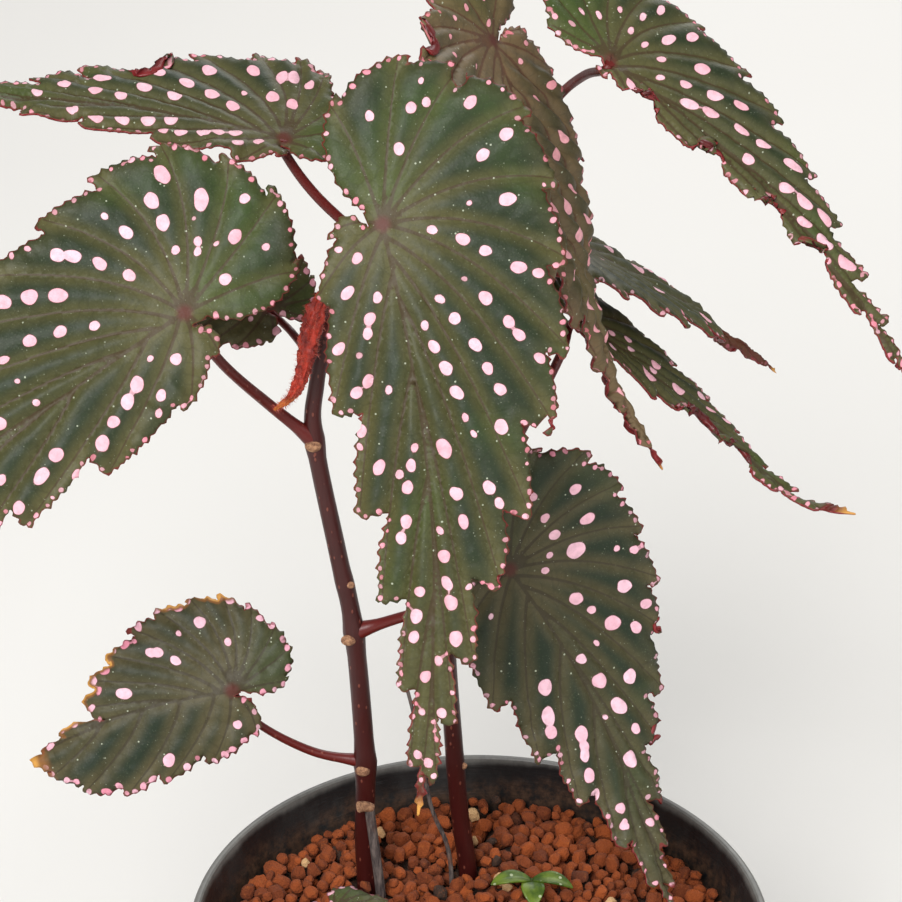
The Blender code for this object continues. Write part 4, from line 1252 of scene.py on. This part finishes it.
def blade(leaf, finishes):
    """One leaf's blade; the first finish is for its upper face and the second for its underside."""
    draw = random.Random(leaf.name)
    outlines = OUTLINES[leaf.shape]
    midrib, halves = vein_lines(leaf, outlines)
    broad, broad_flecks = half_margin(leaf, outlines[0], BROAD_VEINS, 1, draw)
    narrow, narrow_flecks = half_margin(leaf, outlines[1], NARROW_VEINS, -1, draw)
    ring = np.vstack([broad, narrow[-2:0:-1]])
    closed_ring = np.vstack([ring, ring[:1]])
    lines = [midrib, *halves[0], *halves[1]]
    gaps = gaps_between(leaf, midrib, halves)
    spots = spots_on(leaf, gaps, lines, closed_ring, broad_flecks + narrow_flecks, draw)
    laid, faces = flat_mesh(lines, spots, ring, closed_ring)
    print(leaf.name, len(spots), "spots,", len(faces), "faces")

    vein, near, second = near_veins(laid, lines)
    edge, run = away_from(laid, closed_ring)
    outside = np.array([spot.outside(laid) for spot in spots])
    red = np.array([spot.red for spot in spots])[outside.argmin(axis=0)]
    rise = np.sin(math.pi * near / (near + second + 1e-6)) * np.clip((near + second) / SWELL_GAP, 0, 1)
    extra = small_heights(leaf, laid, midrib, near, edge, run, draw)
    moved, lifted = turned_lips(leaf, halves, laid, closed_ring, edge, run)
    dried = dried_share(leaf, laid, edge)
    if leaf.strip:
        start, over, share, browned = leaf.strip
        rolled = np.clip((laid[:, 1] / leaf.length - start) / over, 0, 1)
        rib = np.interp(laid[:, 1], midrib[:, 1], midrib[:, 0])
        moved[:, 0] += (rib - laid[:, 0]) * (1 - share) * rolled
        lifted -= np.abs(laid[:, 0] - rib) * 0.5 * rolled
        dried = np.maximum(dried, rolled * browned)

    points = leaf.bent(laid + moved, rise, extra + lifted)
    piece = mesh_piece(leaf.name + "_blade", points, [tuple(face)[::-leaf.side] for face in faces])
    for name, values in {"vein": vein, "edge": edge, "spot": outside.min(axis=0), "red": red,
                         "dried": dried}.items():
        store(piece, name, values)
    corners = np.array([corner.vertex_index for corner in piece.data.loops])
    piece.data.uv_layers.new(name="laid").data.foreach_set("uv", (laid[corners] / 100).ravel())
    for finish in finishes:
        piece.data.materials.append(finish)
    shape_with(piece, "SOLIDIFY", thickness=BLADE_THICKNESS * MM, offset=0,
               material_offset=1, material_offset_rim=1)
    bpy.ops.object.shade_smooth()
    return piece

# %% [markdown]
# ## Leaf colours
#
# The upper face is two greens: a deep one on the swells between the veins, and an olive one
# that follows every vein like a soft band. It reddens where the stalk joins it. Over them lie
# the spots, of a chalky pink that is redder in the flecks at the edge, and pale specks no wider
# than a pin, which are painted glints, as are the pale flecks on the tops of the pebbles. Tips
# and patches that have dried are brown and yellow. The skin is pebbled, which breaks up the
# shine. Underneath, the whole blade is dark wine red, and a thin broken line of red runs along
# the edge. Each of these is one mix over the one before it.

# %% Leaf finishes
def upper_finish(name, deep, band, fresh, spot_pale, spot_red, rib=(62, 45, 30),
                 brown=(86, 22, 15)):
    """The upper face, from the greens up to the dried parts."""
    leaf = Finish(name, IOR=1.32)
    flat = leaf.place("UV")
    vein, edge = leaf.attribute("vein"), leaf.attribute("edge")
    spot, red, dried = leaf.attribute("spot"), leaf.attribute("red"), leaf.attribute("dried")
    patch = leaf.cloud(flat, 2.6, 2.0)
    blotch = leaf.cloud(flat, 11.0, 3.0)
    grain = leaf.cloud(flat, 70.0, 5.0, 0.65)
    pebbles = leaf.cells(flat, 165.0)
    net = leaf.cells(flat, 34.0, "DISTANCE_TO_EDGE")
    from_stalk = leaf.node("ShaderNodeVectorMath", {"operation": "LENGTH"}, {0: flat}, "Value")

    beside = vein.ramp(3.0, 0.2) * (0.4 + blotch * 0.7)
    rim = edge.ramp(5.0, 0.5) * 0.35
    near_stalk = from_stalk.ramp(0.2, 0.05) * 0.25
    greens = leaf.mix((beside + rim + near_stalk).least(1.0), deep, band)
    freshened = leaf.mix(patch.ramp(0.5, 0.7) * edge.ramp(22, 2) * 0.75, greens, fresh)
    # Pale flecks on the tops of the pebbles: painted glints.
    with_pebble_glints = leaf.mix(pebbles.ramp(0.35, 0.1) * grain * 0.22, freshened, (112, 116, 92))
    shaded = leaf.mix(net.ramp(0.09, 0.0) * 0.18, with_pebble_glints, (34, 34, 22))
    veined = leaf.mix(vein.ramp(0.14, -0.12) * 0.7, shaded, rib)
    heart = leaf.mix(from_stalk.ramp(0.024, 0.006) * 0.65, veined, (88, 34, 32))
    # Pale specks and finer dots: painted glints of the pebbled skin.
    speck_glints = leaf.cells(flat, 40.0).ramp(0.10, 0.05) * blotch.ramp(0.4, 0.5)
    fine_glints = leaf.cells(flat, 105.0).ramp(0.16, 0.06) * grain.ramp(0.45, 0.6)
    with_speck_glints = leaf.mix((speck_glints * 0.75 + fine_glints * 0.4).least(1.0), heart, (176, 182, 160))
    mottled = leaf.mix(grain.ramp(0.35, 0.7), spot_pale, tuple(c * 0.9 for c in spot_pale))
    pink = leaf.mix(red * 0.8, mottled, spot_red)
    outlined = leaf.mix(spot.ramp(0.3, 0.02) * 0.35, with_speck_glints, (112, 52, 54))
    spotted = leaf.mix(spot.ramp(0.07, -0.05), outlined, pink)
    broken = edge.ramp(0.32, 0.08) * blotch.ramp(0.38, 0.56) * 0.8
    lined = leaf.mix(broken, spotted, (118, 38, 40))
    browned = leaf.mix((dried * 3.4 - 1.0 - grain * 0.5).ramp(0, 1) * 0.9, lined, brown)
    yellow = (dried * 3.2 - 1.9 - grain * 0.4).ramp(0, 0.8) * 0.9
    yellowed = leaf.mix(yellow, browned, (206, 150, 72))
    leaf.set(
        Base_Color=yellowed,
        Roughness=0.44 + grain * 0.16,
        Normal=leaf.bump(pebbles * -0.8 + net.ramp(0.12, 0.0) * -0.2 + grain * 0.5, 0.00006, 0.7),
    )
    return leaf.material

# %% Underside and the three kinds of leaf
def under_finish(name, dark, bright):
    """The underside, brighter beside the veins and along the rim."""
    leaf = Finish(name, IOR=1.42)
    flat = leaf.place("UV")
    vein, edge = leaf.attribute("vein"), leaf.attribute("edge")
    dried = leaf.attribute("dried")
    blotch = leaf.cloud(flat, 12.0, 3.0)
    grain = leaf.cloud(flat, 90.0, 4.0)
    net = leaf.cells(flat, 34.0, "DISTANCE_TO_EDGE")
    wine = leaf.mix((blotch + vein.ramp(0.6, 0.0) * 0.6).least(1.0), dark, bright)
    rimmed = leaf.mix(edge.ramp(1.6, 0.2) * 0.5, wine, (140, 38, 40))
    leaf.set(
        Base_Color=leaf.mix(dried.ramp(0.78, 1.0), rimmed, (196, 136, 62)),
        Roughness=0.42,
        Normal=leaf.bump(net.ramp(0.12, 0.0) * 0.4 + vein.ramp(0.5, 0.0) * 2.0 + grain * 0.3, 0.0001, 0.7),
    )
    return leaf.material


wine_under = under_finish("wine_under", (58, 11, 11), (98, 22, 22))
LEAF_FINISHES = {
    "grown": upper_finish(
        "leaf_grown", deep=(34, 44, 25), band=(78, 75, 44), fresh=(56, 74, 28),
        spot_pale=(232, 184, 196), spot_red=(208, 98, 116),
    ),
    "old": upper_finish(
        "leaf_old", deep=(29, 40, 25), band=(76, 70, 46), fresh=(50, 62, 34),
        spot_pale=(234, 190, 204), spot_red=(200, 98, 122), rib=(52, 44, 30), brown=(128, 84, 44),
    ),
    "young": upper_finish(
        "leaf_young", deep=(70, 65, 42), band=(108, 90, 64), fresh=(84, 82, 46),
        spot_pale=(236, 172, 180), spot_red=(212, 84, 96), rib=(86, 56, 44),
    ),
}

# %% All the blades
for leaf in LEAVES.values():
    piece = blade(leaf, (LEAF_FINISHES[leaf.finish], wine_under))
    stands_for(piece, leaf.name)

# %% [markdown]
# ## Canes and leaf stalks
#
# A cane is jointed like bamboo: it swells a little where a leaf stalk leaves it, and where an
# old leaf has dropped it keeps a pale corky scar. The stalks are thinner, brighter red, and
# meet the blade from below. Cane and stalks grew as one, so their rods are sunk into each
# other and joined into one piece.

# %% Cane points and stalks
# Points and radii in millimetres, the leaves carried, and the place and radius of each scar.
CANES = {
    "cane_left": (
        [(-26.1, 28.4, 60), (-26.1, 28, 97), (-26.5, 28, 112), (-26, 28, 133),
         (-28, 28, 168), (-31.2, 28, 188), (-35.8, 28, 217), (-35, 28, 230), (-32.5, 28.6, 243)],
        (2.2, 2.3, 2.2, 2.3, 2.1, 2.0, 1.9, 1.7, 1.2),
        ("leaf_front", "leaf_left", "leaf_lower_right", "leaf_lower_left", "leaf_behind_left"),
        [((-26.5, 25.6, 132), 1.7), ((-29.2, 25.8, 167), 1.7), ((-36, 26.1, 216), 1.8),
         ((-28.6, 26.4, 181), 1.1)],
    ),
    "cane_right": (
        [(-1.5, 33, 60), (-2.4, 33, 97), (-4.2, 33, 113), (-5.8, 33, 135), (-7.4, 33.5, 165),
         (-6, 34, 190), (-5, 35, 210), (-5.5, 36, 235), (-2.5, 37, 252)],
        (2.2, 2.2, 2.1, 2.1, 2.0, 1.9, 1.8, 1.7, 1.3),
        ("leaf_upper_left", "leaf_top", "leaf_upper_right", "leaf_right_high", "leaf_right_low"),
        [((-3.8, 32, 129), 1.2)],
    ),
}
YOUNG_LEAF_STALK = [
    (-33, 28.5, 243), (-32, 27, 252), (-31.8, 23.5, 258), (-32.2, 21, 257.4), (-32.7, 20.5, 255.4),
]


def toned(piece, value):
    """A rod with the same number on every point: 0 for a cane and 1 for a stalk."""
    store(piece, "tone", np.full(len(piece.data.vertices), value))
    return piece


STALK_STOP = 0.35  # how far below the middle of the blade a stalk ends, in mm


def leaf_stalk(leaf):
    """A leaf's stalk, from the cane to the underside of the blade."""
    under = leaf.base - leaf.square * STALK_STOP * MM
    points = [*leaf.stalk, under - leaf.square * 3 * MM, under - leaf.square * MM, under]
    thick = leaf.stalk_radius
    stalk = rod(leaf.name + "_stalk", points, (thick * 1.3, thick, thick * 0.92, thick * 0.95),
                steps=8, swellings=[(leaf.stalk[0], 4 * MM, 0.5)])
    return toned(stalk, 1.0)


SCAR_SQUASH = (1, 0.5, 0.8)


def round_pad(place, radius, finish):
    """A small flattened lump, which makes a scar."""
    bpy.ops.mesh.primitive_uv_sphere_add(
        segments=18, ring_count=10, radius=radius * MM, location=Vector(place) * MM,
        scale=SCAR_SQUASH,
    )
    pad = bpy.context.object
    bpy.ops.object.transform_apply(location=True, rotation=True, scale=True)
    bpy.ops.object.shade_smooth()
    pad.data.materials.append(finish)
    return pad

# %% Stem finish
stem = Finish("stem_skin", IOR=1.45)
where = stem.place()
tone_value = stem.attribute("tone")
long_streaks = stem.cloud(stem.stretched(where, (1, 1, 0.12)), 900.0, 4.0)
stem_blotch = stem.cloud(where, 95.0, 3.0)
wine = stem.mix(stem_blotch * 0.6 + long_streaks * 0.35, (38, 9, 8), (74, 18, 14))
brighter = stem.mix(tone_value * 0.55, wine, (108, 26, 20))
freckles = stem.cells(stem.stretched(where, (1, 1, 0.5)), 620.0).ramp(0.2, 0.1)
freckled = stem.mix(freckles * 0.45, brighter, (150, 84, 66))
stem.set(
    Base_Color=freckled,
    Roughness=0.36 + long_streaks * 0.15,
    Normal=stem.bump(long_streaks + freckles * 0.6, 0.00018, 0.6),
)

cork = Finish("cork_scar", Roughness=0.85)
where = cork.place()
cork_grain = cork.cloud(where, 1100.0, 5.0, 0.7)
cork.set(
    Base_Color=cork.mix(cork_grain.ramp(0.3, 0.7), (96, 60, 42), (176, 132, 98)),
    Normal=cork.bump(cork_grain, 0.0003),
)

# %% Canes
for name, (points, radii, carried, scars) in CANES.items():
    swellings = [(LEAVES[leaf].stalk[0], 3.2 * MM, 0.16) for leaf in carried]
    swellings += [(Vector(place) * MM, 2.4 * MM, 0.14) for place, _ in scars]
    cane = toned(rod(name + "_rod", in_mm(points), [r * MM for r in radii], 10, swellings, 6), 0.0)
    stalks = [leaf_stalk(LEAVES[leaf]) for leaf in carried]
    if name == "cane_left":
        young = rod("young_stalk", in_mm(YOUNG_LEAF_STALK), (1.0 * MM, 0.8 * MM), 6)
        stalks.append(toned(young, 1.0))
    grown = joined(name + "_grown", [cane, *stalks], stem.material)
    stands_for(grown, name)
    for k, (place, radius) in enumerate(scars):
        pad = round_pad(place, radius, cork.material)
        pad.name = f"{name}_scar_{k}"
        rides(pad)

low_stalk = joined("low_front_stalk", [leaf_stalk(LEAVES["leaf_low_front"])], stem.material)
stands_for(low_stalk, "leaf_low_front_stalk")

# %% [markdown]
# ## The unfolding leaf
#
# The newest leaf is still crumpled along its midrib, bright red and thick with hairs. It is
# made as a tube round a curved line whose section is pleated and whose pleats wander, and the
# hairs are real three-sided cones, because hair curves would be lost when the part is
# exported.

# %% Crumpled tube
YOUNG_LEAF = [
    (-32.8, 20.5, 255), (-35.4, 20, 247), (-37.2, 19.5, 238), (-39.6, 19.2, 232), (-43.6, 19, 228.5),
]
YOUNG_RADII = (1.3, 1.9, 2.0, 1.8, 1.5, 1.3, 0.9, 0.6, 0.3)
YOUNG_SIDES = 36
PLEATS = ((5, 0.16, 0.11), (9, 0.09, -0.2))  # how many round it, how deep, and how they wander


def crumpled_leaf():
    """The tube of the young leaf, ring by ring along its curved line."""
    path = smooth_curve(YOUNG_LEAF, 22)
    spread = np.interp(np.linspace(0, 1, len(path)), np.linspace(0, 1, len(YOUNG_RADII)), YOUNG_RADII)
    ahead = np.gradient(path, axis=0)
    ahead /= np.linalg.norm(ahead, axis=1)[:, None]
    front = np.array([0, -1.0, 0])
    points, faces = [], []
    for k, (middle, forward, radius) in enumerate(zip(path, ahead, spread)):
        side = np.cross(forward, front)
        side /= np.linalg.norm(side)
        toward = np.cross(side, forward)
        for j in range(YOUNG_SIDES):
            angle = math.tau * j / YOUNG_SIDES
            pleat = 1 + sum(deep * math.sin(many * angle + k * wander) for many, deep, wander in PLEATS)
            at = Vector((math.cos(angle), math.sin(angle), k * 0.16))
            crumple = 1 + 0.34 * noise.noise(at) + 0.3 * noise.noise(at * 3.1)
            reach = radius * pleat * crumple
            out = side * math.cos(angle) * reach + toward * math.sin(angle) * reach * 0.7
            points.append((middle + out) * MM)
            if k:
                a, b = (k - 1) * YOUNG_SIDES + j, (k - 1) * YOUNG_SIDES + (j + 1) % YOUNG_SIDES
                faces.append((a, b, b + YOUNG_SIDES, a + YOUNG_SIDES))
    faces.append(tuple(range(YOUNG_SIDES)))
    faces.append(tuple(range(len(points) - YOUNG_SIDES, len(points))))
    piece = mesh_piece("young_leaf", points, faces)
    weld(piece)
    bpy.ops.object.shade_smooth()
    return piece

# %% Hairs
HAIRS = 1100


def hairs_on(piece, count, lengths, thickness, draw):
    """Three-sided hairs that stand out of a piece, as a second mesh."""
    points, faces = [], []
    surface = [face for face in piece.data.polygons if len(face.vertices) < 6]
    for _ in range(count):
        face = draw.choice(surface)
        root = Vector(face.center)
        out = (Vector(face.normal) + Vector([draw.uniform(-0.5, 0.5) for _ in range(3)])).normalized()
        side = out.orthogonal().normalized() * thickness
        first = len(points)
        for k in range(3):
            points.append(root - out * thickness + Matrix.Rotation(math.tau * k / 3, 3, out) @ side)
        points.append(root + out * draw.uniform(*lengths))
        faces += [(first, first + 1, first + 3), (first + 1, first + 2, first + 3),
                  (first + 2, first, first + 3), (first + 2, first + 1, first)]
    return mesh_piece(piece.name + "_hairs", points, faces)

# %% The young leaf and its finishes
young_skin = Finish("young_skin", Roughness=0.5)
where = young_skin.place()
crinkle = young_skin.cloud(where, 420.0, 5.0, 0.65)
down_leaf = young_skin.node("ShaderNodeSeparateXYZ", {}, {"Vector": where}, "Z")
red_skin = young_skin.mix(crinkle.ramp(0.3, 0.7), (92, 12, 6), (172, 44, 20))
tipped = young_skin.mix(down_leaf.ramp(0.2325, 0.2285) * 0.9, red_skin, (206, 128, 48))
young_skin.set(Base_Color=tipped, Normal=young_skin.bump(crinkle, 0.0006))

hair_skin = Finish("young_hairs", Roughness=0.4)
where = hair_skin.place()
hair_tone = hair_skin.cloud(where, 300.0)
hair_skin.set(Base_Color=hair_skin.mix(hair_tone.ramp(0.35, 0.65), (150, 32, 22), (206, 112, 90)))

young_draw = random.Random(5)
young_leaf = crumpled_leaf()
young_leaf.data.materials.append(young_skin.material)
stands_for(young_leaf, "leaf_unfolding")
young_hairs = hairs_on(young_leaf, HAIRS, (0.4 * MM, 1.3 * MM), 0.05 * MM, young_draw)
young_hairs.data.materials.append(hair_skin.material)
rides(young_hairs)

# %% [markdown]
# ## What stands on its own in the granules
#
# A cut-off stub and a thin dried stalk are left from growth that is gone, and a small green
# seedling has come up among the granules. They are small, but they are what makes the pot look
# lived in. Rods make the stub, the stalk and the seedling's stem, and its leaves are grids that
# are bent, narrowed at both ends and given a thickness.

# %% Stub and dried stalk
STUB = [(-21.5, 23.5, 70), (-22.6, 23.5, 97), (-25.1, 23.5, 123.5)]
STUB_CUT = [(-24.6, 23.6, 123.2), (-26, 22.8, 124.2), (-27.4, 22, 124.6)]
STUB_RADIUS = 1.15 * MM
DRY_STALK = [(-6.2, 29, 78), (-6.2, 29.2, 97), (-7.3, 30, 108), (-11.2, 30, 120), (-14.6, 30, 143),
             (-17.4, 30, 156)]

dead = Finish("dead_bark", Roughness=0.85)
where = dead.place()
bark = dead.cloud(dead.stretched(where, (1, 1, 0.18)), 1300.0, 5.0, 0.65)
bark_patch = dead.cloud(where, 140.0)
grey = dead.mix(bark.ramp(0.35, 0.68), (52, 44, 44), (110, 98, 92))
browned = dead.mix(bark_patch.ramp(0.5, 0.66) * 0.7, grey, (104, 62, 42))
dead.set(Base_Color=browned, Normal=dead.bump(bark, 0.0004))

stub = joined("stub_grown", [rod("stub_rod", in_mm(STUB), (STUB_RADIUS, STUB_RADIUS), 8)], dead.material)
stands_for(stub, "old_stub")
cut_end = joined("stub_cut", [rod("cut_rod", in_mm(STUB_CUT), (STUB_RADIUS * 0.95, STUB_RADIUS * 1.15), 4)],
                 cork.material)
rides(cut_end)
dry = joined("dry_stalk_grown", [rod("dry_rod", in_mm(DRY_STALK), (0.6 * MM, 0.4 * MM), 8)], dead.material)
stands_for(dry, "dry_stalk")

# %% Seedling
SEEDLING_STEM = [(12, 21.5, 84), (12, 21.5, 100), (12.2, 20.5, 105)]
# Where each small leaf starts and ends, its half width and how far it arches up, in mm.
SEEDLING_LEAVES = [
    ((12.0, 20.2, 105.2), (2.8, 18.0, 105.6), 2.3, 2.2),
    ((12.4, 20.2, 105.2), (21.6, 18.2, 104.6), 2.2, 2.4),
    ((12.2, 20.0, 105.0), (12.6, 12.2, 103.4), 2.7, 2.4),
]


def small_leaf(start, end, half_width, rise):
    """A small oval leaf, arched up between its foot and its tip and creased down the middle."""
    bpy.ops.mesh.primitive_grid_add(x_subdivisions=16, y_subdivisions=8, size=2, location=(0, 0, 0))
    leaf = bpy.context.object
    start, end = Vector(start), Vector(end)
    run = end - start
    side = run.cross(Vector((0, 0, 1))).normalized()
    for corner in leaf.data.vertices:
        t, across = (corner.co.x + 1) / 2, corner.co.y
        width = half_width * math.sin(math.pi * min(0.06 + t * 0.94, 1)) ** 0.7
        lift = rise * 2.4 * t * (1 - t) + 0.25 * abs(across) * width
        corner.co = (start + run * t + side * across * width + Vector((0, 0, lift))) * MM
    shape_with(leaf, "SOLIDIFY", thickness=BLADE_THICKNESS * MM, offset=0)
    bpy.ops.object.shade_smooth()
    weld(leaf)
    return leaf


fresh = Finish("seedling_skin", IOR=1.42)
where = fresh.place()
fresh_cloud = fresh.cloud(where, 260.0, 3.0)
# Pale dots on the seedling's leaves: painted highlights.
seedling_glints = fresh.cells(where, 420.0).ramp(0.2, 0.12)
leafy = fresh.mix(fresh_cloud.ramp(0.35, 0.65), (52, 76, 16), (98, 118, 34))
with_seedling_glints = fresh.mix(seedling_glints * 0.5, leafy, (206, 214, 178))
fresh.set(Base_Color=with_seedling_glints, Roughness=0.4 + fresh_cloud * 0.1, Normal=fresh.bump(fresh_cloud, 0.0004, 0.6))

seed_parts = [rod("seed_stem", in_mm(SEEDLING_STEM), (1.0 * MM, 0.9 * MM, 0.7 * MM), 5)]
seed_parts += [small_leaf(*numbers) for numbers in SEEDLING_LEAVES]
seedling = joined("seedling_grown", seed_parts, fresh.material)
stands_for(seedling, "seedling")

# %% [markdown]
